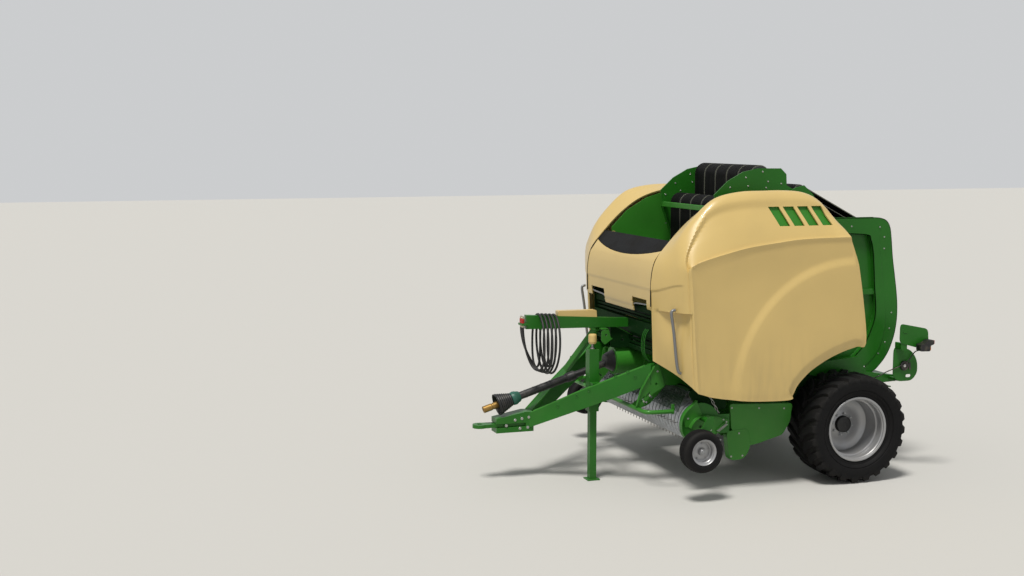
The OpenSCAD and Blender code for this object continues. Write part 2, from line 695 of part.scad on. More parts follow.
module tailgate_back() {
    color(green) {
        for (b = [[-1905, 2150, 60, 70], [-1952, 1640, 57, 70], [-1820, 1260, 60, 60]])
            translate([b[0], -gate_in + seat, b[1]]) cube([b[2], 2 * (gate_in - seat), b[3]]);
        for (y = [-360, -120, 120, 360]) side(y - 5, y + 5)
            polygon([[-1905, 2210], [-1885, 2210], [-1897, 1700], [-1910, 1650], [-1940, 1700]]);
    }
}

module tailgate_rollers() {
    color(steel) for (r = gate_rollers) {
        cross(r[0], r[1], r[2], -wall_y + 6, wall_y - 6);
        cross(r[0], r[1], 18, -gate_in + seat, gate_in - seat);
    }
}

module cylinder_left() {
    color(steel) difference() {
        union() {
            rod(lift_at(60), lift_at(lift_len - 250), 36);
            rod(lift_at(0), lift_at(61), 20);
            cross(lift_from[0], lift_from[1], 32, cylinder_y - 21, cylinder_y + 21);
        }
        rod(lift_at(520), lift_at(lift_len), 20 + seat);
        cross(lift_from[0], lift_from[1], 15 + fit, 700, 770);
    }
}
module cylinder_right() { mirror([0, 1, 0]) cylinder_left(); }

module rod_left() {
    color(silver) {
        rod(lift_at(540), lift_at(lift_len - 20), 20);
        cross(lift_to[0], lift_to[1], 30, cylinder_y - 23, cylinder_y + 23);
    }
}
module rod_right() { mirror([0, 1, 0]) rod_left(); }

module hood_left() {
    color(beige) difference() {
        union() {
            skin([for (t = concat([for (i = [0:0.5:11]) i], [11.05, 11.15, 11.4, 11.7, 12, 12.5, 13]))
                hood_station(t)], hood_t);
            for (x = [-499.5, -229.5]) difference() {
                union() {
                    rod([x, hood_hinge_y, hood_hinge_z], [x + 26, hood_hinge_y, hood_hinge_z], 12);
                    translate([x, hood_hinge_y, 2772]) cube([26, 16, 14]);
                }
                rod([x - 5, hood_hinge_y, hood_hinge_z], [x + 35, hood_hinge_y, hood_hinge_z], 6 + fit);
            }
        }
        for (i = [0:3]) side(1010, 1300) translate([-window_pitch * i, 0])
            polygon([[-337, 2672], [-440, 2672], [-519, 2498], [-422, 2498]]);
    }
}
module hood_right() { mirror([0, 1, 0]) hood_left(); }

module handle_left() {
    path = [[611.2, 1120, 1741.6], [632, 1120, 1740], [650, 1120, 1718], [640, 1120, 1650],
        [616, 1120, 1500], [601, 1120, 1335], [586, 1120, 1220], [570, 1120, 1160], [545.2, 1120, 1149.7]];
    color(steel) swept(path, 2 * handle_r, 12, [0, 1, 0]);
}
module handle_right() { mirror([0, 1, 0]) handle_left(); }

// Cuts the insert's round lower edge, seen from the front
module smile(r) {
    translate([400, 0, smile_z]) rotate([0, 90, 0]) cylinder(h = 400, r = r, $fn = 200);
}

// Strip across the machine that follows a curve of the front hood
module front_strip(curve, t) {
    n = len(curve);
    side(-front_hood_y, front_hood_y) polygon(concat(curve, [for (i = [n - 1:-1:0]) curve[i] - [t, t]]));
}

module front_hood() {
    color(beige) {
        difference() {
            front_strip(front_curve, 12);
            smile(smile_r);
            both() translate([600, 0, 0]) rotate([90, 0, 90]) linear_extrude(200)
                polygon([[410, 1785], [685, 1785], [685, 1700], [900, 1700], [900, 1600], [330, 1600],
                    [355, 1652]]);
        }
        difference() {
            both() side(757, 769) {
                polygon([[440, 2296], [440, 2344], [492, 2330], [538, 2282], [574, 2246], [600, 2240],
                    [640, 2195], [660, 2170], [600, 2140]]);
                disc(front_hinge[0], front_hinge[1], 25);
            }
            cross(front_hinge[0], front_hinge[1], 10 + fit, -780, 780);
        }
    }
}

module hood_insert() {
    color(black) intersection() {
        front_strip(insert_curve, 14);
        smile(smile_r - seat);
    }
}

module pickup_frame() {
    color(green) both() {
        side(1085, 1125) {
            disc(reel_x + 40, reel_z + 10, 200);
            translate([40, 560]) square([200, 180]);
        }
        side(870, 900) difference() {
            polygon([[pivot[0] - 50, 530], [pivot[0] - 40, 600], [40, 700], [58, 745], [58, 520], [0, 480],
                [pivot[0], 510]]);
            disc(pivot[0], pivot[1], pivot_r + fit);
        }
        cross(reel_x + 30, reel_z + 70, 25, 1124, 1325);
        side(1312, 1326) polygon([[300, 690], [300, 760], [370, 760], [515, 470], [470, 450]]);
        cross(gauge_at[0], gauge_at[1], stub_r, 1325, 1455);
        cross(gauge_at[0], gauge_at[1], 22, 1325, 1392 - seat);
    }
    color(green) {
        translate([40, -1086, 560]) cube([20, 2172, 180]);
    }
}

module pickup_bands() {
    pitch = 2040 / band_count;
    color(silver) for (i = [0:band_count - 1]) {
        y = -1020 + pitch * (i + 0.5);
        side(y - pitch / 2 + 9, y + pitch / 2 - 9) difference() {
            union() {
                disc(reel_x, reel_z, band_r);
                translate([60 + seat, reel_z - band_r]) square([reel_x - 60 - seat, 2 * band_r]);
            }
            disc(reel_x, reel_z, band_r - band_t);
            translate([60 + seat + band_t, reel_z - band_r + band_t])
                square([reel_x - 60, 2 * (band_r - band_t)]);
        }
    }
}

module pickup_reel() {
    pitch = 2040 / band_count;
    color(steel) {
        cross(reel_x, reel_z, 30, -1085 + seat, 1085 - seat);
        for (y = [-1060, -12, 1036]) side(y, y + 24) disc(reel_x, reel_z, 125);
        for (k = [0:tine_bars - 1]) rotate_about(k * 360 / tine_bars) {
            cross(reel_x + 108, reel_z, 12, -1050, 1050);
            for (i = [1:band_count - 1])
                translate([reel_x + 108, -1020 + pitch * i, reel_z])
                    rotate([0, 90, 0]) cylinder(h = tine_r - 108, r = 4, $fn = 8);
        }
    }
}
module rotate_about(a) {
    translate([reel_x, 0, reel_z]) rotate([0, a, 0]) translate([-reel_x, 0, -reel_z]) children();
}

module crop_guard() {
    color(light_green) {
        both() side(626, 638) difference() {
            union() {
                polygon([[582, 1150], [540, 1150], [463, 966], [640, 780], [694, 755], [827, 760], [835, 790],
                    [720, 860], [620, 1000]]);
                disc(crop_hinge[0], crop_hinge[1], 34);
            }
            disc(crop_hinge[0], crop_hinge[1], 12 + fit);
        }
        cross(830, 768, 20, -955, 955);
        both() {
            rod([830, 950, 768], [558, 985, 768], 20);
            translate([830, 950, 768]) sphere(20);
            translate([540, 975, 740]) cube([36, 20, 100]);
        }
    }
}

module gauge_tyre_left() {
    h = gauge_w / 2;
    color(black) wheel(gauge_at[0], gauge_y - h, gauge_at[1]) polygon([
        [gauge_rim_r + seat, -h * 0.8], [gauge_rim_r + 25, -h * 0.95], [gauge_r - 45, -h],
        [gauge_r - 14, -h * 0.88], [gauge_r - 3, -h * 0.6], [gauge_r - 3, -h * 0.4], [gauge_r - 9, -h * 0.38],
        [gauge_r - 9, -h * 0.28], [gauge_r, -h * 0.26], [gauge_r, h * 0.26], [gauge_r - 9, h * 0.28],
        [gauge_r - 9, h * 0.38], [gauge_r - 3, h * 0.4], [gauge_r - 3, h * 0.6], [gauge_r - 14, h * 0.88],
        [gauge_r - 45, h], [gauge_rim_r + 25, h * 0.95], [gauge_rim_r + seat, h * 0.8]]);
}
module gauge_tyre_right() { mirror([0, 1, 0]) gauge_tyre_left(); }

module gauge_rim_left() {
    h = gauge_w / 2;
    color(silver) wheel(gauge_at[0], gauge_y - h, gauge_at[1]) {
        translate([gauge_rim_r - 10, -h * 0.8]) square([10, h * 1.6]);
        translate([40, 0]) square([gauge_rim_r - 45, 8]);
        translate([stub_r + fit, -40]) square([40 - stub_r, 70]);
    }
}
module gauge_rim_right() { mirror([0, 1, 0]) gauge_rim_left(); }

// Half of a tyre's section from the bead to the middle of the tread: height over the rim as a
// share of the tyre's height, offset as a share of half its width, and how far a lug stands up
tyre_rows = [[0.004, 0.76, 0], [0.33, 0.95, 0], [0.6, 1, 0], [0.76, 0.985, 0], [0.83, 0.92, 0.85],
    [0.868, 0.5, 1], [0.88, 0.1, 1]];
// Place of a lug's foot and top along the tread as shares of one pitch
lug_share = [0, 0.12, 0.42, 0.54];
lug_sweep = 16;

// Tyre with lugs: rings of points round the axle, four for each lug
module tyre_left() {
    pitch = 360 / lug_count;
    half = wheel_w / 2;
    height = wheel_r - rim_r;
    rings = len(tyre_rows);
    n = 4 * lug_count;
    start = -90 - pitch * 0.25 - pitch * 0.27 - lug_sweep * 0.1;
    function spot(r, a, y) = [wheel_x + r * cos(a), wheel_y + y, wheel_r + r * sin(a)];
    function up(row, k) = row[2] * (k == 1 || k == 2 ? lug_h : 0);
    function ring(row, k, s) =
        let(a = start + pitch * (floor(k / 4) + lug_share[k % 4] + (s > 0 ? 0.5 : 0)) + lug_sweep * row[1])
        spot(min(wheel_r, rim_r + height * row[0] + up(row, k % 4)), a,
            s * min(half, half * row[1] + 0.3 * up(row, k % 4) * row[1]));
    centre = tyre_rows[rings - 1];
    points = concat(
        [for (j = [0:rings - 1], k = [0:n - 1]) ring(tyre_rows[j], k, -1)],
        [for (k = [0:n - 1]) spot(rim_r + height * centre[0], start + 360 * k / n + lug_sweep * 0.1, 0)],
        [for (j = [rings - 1:-1:0], k = [0:n - 1]) ring(tyre_rows[j], (k + n - 1) % n, 1)]);
    all_rings = 2 * rings + 1;
    function id(j, k) = (j % all_rings) * n + k % n;
    color(black) polyhedron(points, [for (j = [0:all_rings - 1], k = [0:n - 1], h = [0, 1])
        h == 0 ? [id(j, k), id(j, k + 1), id(j + 1, k + 1)] : [id(j, k), id(j + 1, k + 1), id(j + 1, k)]]);
}
module tyre_right() { mirror([0, 1, 0]) tyre_left(); }

// Deep rim with its hub, as one profile of radius and offset
module rim_left() {
    w = rim_w / 2;
    r = rim_r;
    color(silver) wheel(wheel_x, wheel_y, wheel_r) polygon([
        [spindle_r + fit, -hub_in], [spindle_r + fit, -hub_out], [0, -hub_out], [0, -hub_out + 35],
        [62, -hub_out + 35], [75, -hub_out + 23], [75, -70], [100, -74], [130, -84], [r - 62, -72],
        [r - 34, -56], [r - 34, w - 111], [r - 10, w - 97], [r - 10, w - 10], [r - 2, w], [r + 14, w],
        [r + 14, w - 7], [r, w - 10], [r, w - 97], [r - 24, w - 111], [r - 24, 111 - w], [r, 97 - w],
        [r, 10 - w], [r + 14, 7 - w], [r + 14, -w], [r - 2, -w], [r - 10, 10 - w], [r - 10, 93 - w],
        [r - 34, 107 - w], [r - 34, -80], [r - 62, -86], [130, -98], [100, -96], [100, -hub_in]]);
}
module rim_right() { mirror([0, 1, 0]) rim_left(); }

frame();
axle();
chamber_walls();
side_boxes();
drawbar();
tow_eye();
jack_tube();
jack_crank();
jack_leg();
gearbox();
drive_shaft();
drive_bell();
hose_arm();
hose_box();
hose_couplings();
hose_1();
hose_2();
hose_3();
shoulder_guards();
front_structure();
feed_rollers();
belt_rollers();
belts_front();
guard_comb();
rear_ramp();
light_panels();
rear_lamps();
tailgate_sides();
tailgate_back();
tailgate_rollers();
belts_tail();
cylinder_left();
cylinder_right();
rod_left();
rod_right();
hood_left();
handle_left();
hood_right();
handle_right();
front_hood();
hood_insert();
pickup_frame();
pickup_bands();
pickup_reel();
crop_guard();
gauge_tyre_left();
gauge_rim_left();
gauge_tyre_right();
gauge_rim_right();
tyre_left();
rim_left();
tyre_right();
rim_right();
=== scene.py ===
"""Round baler with belts, parked on its drawbar jack: the finish of every piece."""
import math

import bmesh
import bpy
from mathutils import Matrix, Vector


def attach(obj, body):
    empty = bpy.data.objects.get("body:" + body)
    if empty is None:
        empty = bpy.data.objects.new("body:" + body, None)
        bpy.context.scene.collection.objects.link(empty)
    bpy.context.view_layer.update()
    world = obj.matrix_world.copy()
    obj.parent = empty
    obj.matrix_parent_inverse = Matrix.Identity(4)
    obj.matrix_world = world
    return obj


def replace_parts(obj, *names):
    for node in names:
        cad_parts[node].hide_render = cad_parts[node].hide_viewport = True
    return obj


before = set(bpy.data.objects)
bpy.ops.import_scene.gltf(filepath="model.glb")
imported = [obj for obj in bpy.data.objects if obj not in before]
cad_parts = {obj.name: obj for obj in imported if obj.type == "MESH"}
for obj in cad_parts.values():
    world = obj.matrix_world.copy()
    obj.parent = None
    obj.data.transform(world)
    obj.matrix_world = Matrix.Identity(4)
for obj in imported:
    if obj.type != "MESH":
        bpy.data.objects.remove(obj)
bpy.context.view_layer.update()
scene = bpy.context.scene
scene.view_settings.view_transform = "Standard"


def show(name, data):
    """Puts a camera, lamp, curve or mesh into the scene as an object."""
    made = bpy.data.objects.new(name, data)
    scene.collection.objects.link(made)
    return made


# Camera: it stands ahead of the machine and to its left, a little above the top of the
# hoods, and looks slightly down.
heading = -1.896
look_down = 0.11
eye = show("eye", bpy.data.cameras.new("eye"))
eye.location = (6.096, 12.695, 3.351)
eye.rotation_euler = (math.pi / 2 - look_down, 0, heading - math.pi / 2)
eye.data.lens = 49.08
eye.data.sensor_width = 36
scene.camera = eye


# Hydraulic hoses: black rubber with a woven wrap under the skin. They leave glands under the
# arm over the drawbar, wind over it in turns, and end in couplings that wait at its tip.
class Wire:
    """A shader socket on which Python arithmetic adds Math nodes."""

    def __init__(self, finish, socket):
        self.finish = finish
        self.socket = socket

    def maths(self, operation, first, second):
        return self.finish.node("ShaderNodeMath", {"operation": operation}, {0: first, 1: second})

    def __add__(self, other):
        return self.maths("ADD", self, other)

    def __sub__(self, other):
        return self.maths("SUBTRACT", self, other)

    def __mul__(self, other):
        return self.maths("MULTIPLY", self, other)

    def __pow__(self, other):
        return self.maths("POWER", self, other)

    __radd__ = __add__


class Finish:
    """One material, built up by adding nodes to its Principled shader."""

    def __init__(self, name):
        self.material = bpy.data.materials.new(name)
        self.material.use_nodes = True
        self.tree = self.material.node_tree
        self.shader = self.tree.nodes["Principled BSDF"]

    def feed(self, socket, value):
        if isinstance(value, Wire):
            self.tree.links.new(value.socket, socket)
        else:
            socket.default_value = value

    def node(self, kind, settings, inputs, output=0):
        made = self.tree.nodes.new(kind)
        for key, value in settings.items():
            setattr(made, key, value)
        for key, value in inputs.items():
            self.feed(made.inputs[key], value)
        return Wire(self, made.outputs[output])

    def place(self, scale=(1, 1, 1)):
        spot = self.node("ShaderNodeTexCoord", {}, {}, "Object")
        return self.node("ShaderNodeMapping", {}, {"Vector": spot, "Scale": scale})

    def noise(self, scale, detail=2, stretch=(1, 1, 1)):
        return self.node("ShaderNodeTexNoise", {},
                         {"Vector": self.place(stretch), "Scale": scale, "Detail": detail})

    def axis(self, index):
        """The object's own x, y or z, in metres."""
        spot = self.node("ShaderNodeTexCoord", {}, {}, "Object")
        return self.node("ShaderNodeSeparateXYZ", {}, {"Vector": spot}, index)

    def height(self):
        return self.axis(2)

    def soft_edges(self, radius):
        return self.node("ShaderNodeBevel", {"samples": 4}, {"Radius": radius})

    def span(self, value, low, high):
        """Share, 0 to 1, of the way of a value from low to high."""
        return self.node("ShaderNodeMapRange", {"clamp": True},
                         {"Value": value, "From Min": low, "From Max": high})

    def mix(self, share, first, second):
        return self.node("ShaderNodeMix", {"data_type": "RGBA"},
                         {0: share, 6: first, 7: second}, 2)

    def bump(self, height, depth, normal=None):
        inputs = {"Height": height, "Distance": depth, "Strength": 1.0}
        if normal is not None:
            inputs["Normal"] = normal
        return self.node("ShaderNodeBump", {}, inputs)

    def shade(self, **sockets):
        names = {"colour": "Base Color", "roughness": "Roughness", "metal": "Metallic",
                 "normal": "Normal", "coat": "Coat Weight", "shine": "Specular IOR Level"}
        for key, value in sockets.items():
            self.feed(self.shader.inputs[names[key]], value)
        return self.material


def tone(red, green, blue):
    """A linear colour from the three numbers of a paint chart, 0 to 255."""
    return tuple(((c / 255 + 0.055) / 1.055) ** 2.4 if c > 10 else c / 3295
                 for c in (red, green, blue)) + (1,)


def dimmed(base, share):
    return [c * share for c in base[:3]] + [1]


dust_tone = tone(150, 138, 116)


def rubber(name, base, dirt_top, dirt, grain, depth):
    """Black rubber that greys with dust towards the ground."""
    made = Finish(name)
    patches = made.noise(7, 4)
    low = made.span(made.height(), dirt_top, 0.0)
    share = low * made.span(patches, 0.35, 0.7) * dirt + made.span(made.noise(60, 3), 0.55, 0.75) * 0.06
    return made.shade(colour=made.mix(share, base, dust_tone),
                      roughness=0.55 + share * 0.35,
                      normal=made.bump(made.noise(grain, 3), depth))


hose_rubber = rubber("hose_rubber", tone(22, 22, 23), 0.5, 0.2, 260, 0.0006)
sides = (("left", 1), ("right", -1))
hose_width = 0.022
clasp_y, gland_z, loop_z = 0.1, 1.4647, 1.18
coupling_x = 1.748
turn_half, turn_pitch = 0.235, 0.08


def top_of_arm(x):
    return 1.553 + 0.064 * (x - 0.76) / 0.954


def turn(x0, degrees):
    """Point of a turn round the arm, at an angle from its top outwards over the left side."""
    x = x0 + turn_pitch * (degrees - 270) / 360
    angle = math.radians(degrees)
    return (x, clasp_y + turn_half * math.sin(angle),
            top_of_arm(x) + 0.014 + 0.3 * (math.cos(angle) - math.cos(math.radians(15))))


def hose_route(x0, last, y1):
    """Points from a gland under the arm, in turns over the arm, and up to a coupling."""
    out, back = turn_half / 2, (clasp_y + turn_half - y1) / 2
    x1 = x0 + turn_pitch * (last - 255) / 360
    run = coupling_x - x1
    route = [(x0, clasp_y, gland_z), (x0, clasp_y, loop_z)]
    route += [(x0, clasp_y - out + out * math.cos(a), loop_z - out * math.sin(a))
              for a in map(math.radians, (60, 120, 180))]
    route += [turn(x0, degrees) for degrees in range(285, last + 1, 30)]
    route += [(x1 + run * share, y1 + back + back * math.cos(a), loop_z - back * math.sin(a))
              for a, share in zip(map(math.radians, (0, 60, 120, 180)), (0, 0.12, 0.35, 0.6))]
    return route + [(x1 + run * 0.93, y1, 1.34), (coupling_x, y1, 1.465), (coupling_x, y1, 1.4997)]


def pipe(name, route, width, finish, body):
    """A round tube or hose along a smooth route, in metres, that rides on a body."""
    line = bpy.data.curves.new(name + "_line", "CURVE")
    line.dimensions = "3D"
    line.bevel_depth = width / 2
    line.bevel_resolution = 3
    line.use_fill_caps = True
    strand = line.splines.new("NURBS")
    strand.points.add(len(route) - 1)
    for knot, spot in zip(strand.points, route):
        knot.co = (*spot, 1)
    strand.use_endpoint_u = True
    strand.order_u = 4
    strand.resolution_u = 6
    line.materials.append(finish)
    made = show(name, line)
    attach(made, body)
    return made


def tube(name, points, width, finish, body, *nodes, slot):
    """A pipe drawn in millimetres that stands for CAD nodes."""
    points = [tuple(c / 1000 for c in point) for point in points]
    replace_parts(pipe(name, points, width / 1000, finish, body), *nodes)


for number, (x0, last, y1) in enumerate(((1.4, 795, 0.072), (1.44, 795, 0.1), (1.56, 435, 0.128)), 1):
    route = hose_route(x0, last, y1)
    hose = pipe(f"hydraulic_hose_{number}", route, hose_width, hose_rubber, "chassis")
    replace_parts(hose, f"hose_{number}")
    run = sum(math.dist(a, b) for a, b in zip(route, route[1:]))

# Floor and light: a pale floor and a pale surround, one broad soft lamp ahead of the machine
# and above it, and a weaker one on the camera's side.
pale = Finish("pale_floor")
pale.shade(colour=tone(196, 195, 191), roughness=0.9)
ground = bmesh.new()
bmesh.ops.create_grid(ground, x_segments=1, y_segments=1, size=60)
floor_mesh = bpy.data.meshes.new("floor")
ground.to_mesh(floor_mesh)
ground.free()
floor_mesh.materials.append(pale.material)
show("floor", floor_mesh)
world = bpy.data.worlds.new("surround")
world.use_nodes = True
scene.world = world
tree = world.node_tree
sky = tree.nodes["Background"]
backdrop = tree.nodes.new("ShaderNodeBackground")
for light, colour, strength in ((sky, (0.98, 0.99, 1.0, 1), 0.36), (backdrop, (0.60, 0.61, 0.62, 1), 1.0)):
    light.inputs["Color"].default_value = colour
    light.inputs["Strength"].default_value = strength
seen = tree.nodes.new("ShaderNodeLightPath")
either = tree.nodes.new("ShaderNodeMixShader")
rays = seen.outputs["Is Camera Ray"]
for kind in ("Is Glossy Ray", "Is Transmission Ray"):
    wider = tree.nodes.new("ShaderNodeMath")
    wider.operation = "MAXIMUM"
    tree.links.new(rays, wider.inputs[0])
    tree.links.new(seen.outputs[kind], wider.inputs[1])
    rays = wider.outputs[0]
for source, socket in ((rays, 0), (sky.outputs[0], 1), (backdrop.outputs[0], 2)):
    tree.links.new(source, either.inputs[socket])
tree.links.new(either.outputs[0], tree.nodes["World Output"].inputs["Surface"])
for name, power, width, spot in (("key", 3.0, 0.25, (3.2, 3.0, 10)), ("fill", 0.12, 0.9, (2, 12, 6))):
    lamp = bpy.data.lights.new(name, "SUN")
    lamp.energy = power
    lamp.angle = width
    lamp.color = (1.0, 0.97, 0.92)
    show(name, lamp).rotation_euler = Vector(spot).to_track_quat("Z", "Y").to_euler()


# Painted steel of the frame, drawbar, walls and tailgate: folded and welded sheet with a
# green powder coat, softened at its folds, worn bright on its corners and dusty low down.
def painted(name, base, dirt, gloss=0.34, shine=0.28):
    made = Finish(name)
    broad = made.noise(2.2, 3)
    softened = made.soft_edges(0.004)
    flat = made.node("ShaderNodeNewGeometry", {}, {}, "Normal")
    facing = made.node("ShaderNodeVectorMath", {"operation": "DOT_PRODUCT"}, {0: softened, 1: flat}, 1)
    chips = made.span(facing, 0.985, 0.9) * made.span(made.noise(38, 5), 0.56, 0.66)
    low = made.span(made.height(), 1.2, 0.15)
    share = low * made.span(made.noise(5, 5), 0.4, 0.75) * dirt
    share += made.span(made.noise(34, 4), 0.62, 0.8) * 0.07
    tint = made.mix(made.span(broad, 0.3, 0.7), dimmed(base, 0.88), dimmed(base, 1.1))
    worn = made.mix(chips * 0.7, made.mix(share, tint, dust_tone), tone(120, 122, 112))
    scuffs = made.span(made.noise(14, 6, (1, 1, 4)), 0.55, 0.72)
    return made.shade(colour=worn, roughness=gloss + scuffs * 0.14 + share * 0.4, coat=0.1 * shine,
                      shine=shine, normal=made.bump(made.noise(420, 2), 0.00012, softened))


green_paint = painted("green_paint", tone(33, 102, 24), 0.06)
light_green_paint = painted("light_green_paint", tone(52, 122, 38), 0.05)
# Painted shade: a darker copy of the green paint, for green parts that lie in shadow.
shaded_green_paint = painted("shaded_green_paint", tone(13, 44, 15), 0.03, 0.6, 0.06)


def coat(finish, *nodes):
    """Gives CAD nodes a finish, on their objects and not on their meshes."""
    for node in nodes:
        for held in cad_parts[node].material_slots:
            held.link = "OBJECT"
            held.material = finish


coat(green_paint, "frame", "axle", "chamber_walls", "drawbar", "jack_tube", "jack_leg", "hose_arm",
     "rear_ramp", "tailgate_back", "pickup_frame", "cylinder_left",
     "cylinder_right", "tow_eye")
coat(light_green_paint, "shoulder_guards", "gearbox")
# The front structure under the hoods gets the darker green as painted shade.
coat(shaded_green_paint, "front_structure")


def piece(name, form, finish, body, *nodes, edge=0.0, sharp=35, slot=None):
    """Makes a form drawn in millimetres a piece that rides on a body and stands for CAD nodes."""
    bmesh.ops.remove_doubles(form, verts=form.verts, dist=0.02)
    bmesh.ops.recalc_face_normals(form, faces=form.faces)
    bmesh.ops.scale(form, vec=(0.001, 0.001, 0.001), verts=form.verts)
    mesh = bpy.data.meshes.new(name)
    form.to_mesh(mesh)
    form.free()
    mesh.shade_smooth()
    mesh.materials.append(finish)
    made = show(name, mesh)
    if edge:
        softened = made.modifiers.new("rounded_edges", "BEVEL")
        softened.width = edge
        softened.segments = 2
        softened.limit_method = "ANGLE"
        softened.angle_limit = math.radians(35)
        softened.harden_normals = True
    else:
        mesh.set_sharp_from_angle(angle=math.radians(sharp))
    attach(made, body)
    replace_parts(made, *nodes)
    return made


def only(kind, parts):
    return [part for part in parts if isinstance(part, kind)]


def plate(form, outline, y0, y1, holes=()):
    """A plate from its side view, x and z, between two distances from the centre line."""
    rims = []
    for points in (outline, *holes):
        ring = [form.verts.new((x, y0, z)) for x, z in points]
        rims += [form.edges.new(ends) for ends in zip(ring, ring[1:] + ring[:1])]
    filled = bmesh.ops.triangle_fill(form, use_beauty=True, edges=rims, normal=(0, 1, 0))["geom"]
    grown = bmesh.ops.extrude_face_region(form, geom=only(bmesh.types.BMFace, filled))["geom"]
    bmesh.ops.translate(form, vec=(0, y1 - y0, 0), verts=only(bmesh.types.BMVert, grown))


def rounded(outline, radius):
    """An outline with its corners rounded; radius is a length along the edges."""
    curve = []
    for before, corner, after in zip(outline[-1:] + outline, outline, outline[1:] + outline[:1]):
        corner = Vector(corner)
        to_before, to_after = Vector(before) - corner, Vector(after) - corner
        reach = min(radius, 0.45 * to_before.length, 0.45 * to_after.length)
        start, end = corner + reach * to_before.normalized(), corner + reach * to_after.normalized()
        curve += [(1 - t) ** 2 * start + 2 * t * (1 - t) * corner + t * t * end
                  for t in (0, 0.2, 0.4, 0.6, 0.8, 1)]
    return [tuple(point) for point in curve]


def slot_hole(x, z, length, width, degrees=0.0):
    """Outline of a slot with round ends; a round hole has length 0."""
    cos, sin = math.cos(math.radians(degrees)), math.sin(math.radians(degrees))
    ends = [(length / 2, a) for a in range(-90, 91, 20)] + [(-length / 2, a) for a in range(90, 271, 20)]
    spots = [(shift + width / 2 * math.cos(math.radians(a)), width / 2 * math.sin(math.radians(a)))
             for shift, a in ends]
    return [(x + u * cos - v * sin, z + u * sin + v * cos) for u, v in spots]


def block(form, low, high):
    middle = Matrix.Translation([(a + b) / 2 for a, b in zip(low, high)])
    reach = Matrix.Diagonal([*(b - a for a, b in zip(low, high)), 1])
    bmesh.ops.create_cube(form, size=1, matrix=middle @ reach)


def lathe(form, profile, at, along=(0, 1, 0), steps=48, closed=False):
    """A turned form from a profile of radius and height along its axis."""
    spot = Matrix.Translation(at) @ Vector(along).to_track_quat("Z", "Y").to_matrix().to_4x4()
    rim = [form.verts.new(spot @ Vector((radius, 0, height))) for radius, height in profile]
    lines = [form.edges.new(ends) for ends in zip(rim, rim[1:] + rim[:1] if closed else rim[1:])]
    bmesh.ops.spin(form, geom=rim + lines, cent=at, axis=along, angle=math.tau, steps=steps, use_merge=True)


def mirrored(form):
    """Adds the mirror image of a left form on the right."""
    twin = bmesh.ops.duplicate(form, geom=form.verts[:] + form.edges[:] + form.faces[:])["geom"]
    bmesh.ops.scale(form, vec=(1, -1, 1), verts=only(bmesh.types.BMVert, twin))


def loft(form, sections, closed=False, capped=False):
    """A skin through cross-sections, each a ring of points."""
    loops = []
    for section in sections:
        ring = [form.verts.new(spot) for spot in section]
        loops.append([form.edges.new(ends) for ends in zip(ring, ring[1:] + ring[:1])])
    for first, second in zip(loops, loops[1:] + loops[:1] if closed else loops[1:]):
        bmesh.ops.bridge_loops(form, edges=first + second)
    if capped:
        bmesh.ops.holes_fill(form, edges=loops[0] + loops[-1])


# Side hoods: one moulded panel each, about 5 mm of tinted plastic on a rib frame, with a rolled
# rim, a sunk band over the shoulder, a raised arc on the flank and four cooling windows. Each
# hangs on two hinges at its crest.
hood_lines = [
    (-1131, 2384, -1070, 2538, -1060, 2545), (-1000, 2384, -932, 2701, -915, 2690),
    (-800, 2382, -765, 2784, -750, 2765), (-560, 2372, -560, 2806, -550, 2785),
    (-335, 2346, -335, 2806, -335, 2780), (-60, 2310, -60, 2797, -110, 2762),
    (200, 2252, 197, 2736, 130, 2682), (400, 2198, 400, 2565, 340, 2540),
    (495, 2162, 540, 2385, 533, 2350), (527, 2125, 615, 2180, 672, 2171),
    (512, 1985, 640, 1975, 715, 1971), (495, 1740, 633, 1735, 713, 1739),
    (472, 1400, 612, 1420, 702, 1450), (440, 977, 552, 1119, 691, 1230)]
hood_edge = [
    (-1213, 2185), (-1284, 1774), (-1330, 1360), (-1247, 1329), (-1114, 1294), (-949, 1232),
    (-780, 1140), (-690, 1070), (-611, 987), (-564, 902), (-516, 861), (-144, 869), (142, 902),
    (299, 931)]
hood_y, crest_y, hood_in_y, hood_thickness = 1275, 1050, 806, 14
arc_middle = Vector((-1181, 0, 929))
arc_inner, arc_outer = 1177, 1277
window = [(-330, 2674), (-442, 2674), (-521, 2496), (-414, 2496)]
window_pitch = 152
hinge_xs, hinge_y, hinge_z, hinge_width = (-499.5, -229.5), 798, 2792, 26


def spline(rows, place):
    """Value on a smooth curve through rows of numbers, at a fractional row."""
    i = min(len(rows) - 2, int(place))
    f = place - i
    a, b, c, d = (Vector(rows[max(0, min(len(rows) - 1, i + step))]) for step in (-1, 0, 1, 2))
    bend = f * f * (a - 2.5 * b + 2 * c - d / 2) + f ** 3 * (1.5 * (b - c) + (d - a) / 2)
    return b + f * (c - a) / 2 + bend


def ramp(value, low, high):
    share = max(0.0, min(1.0, (value - low) / (high - low)))
    return share * share * (3 - 2 * share)


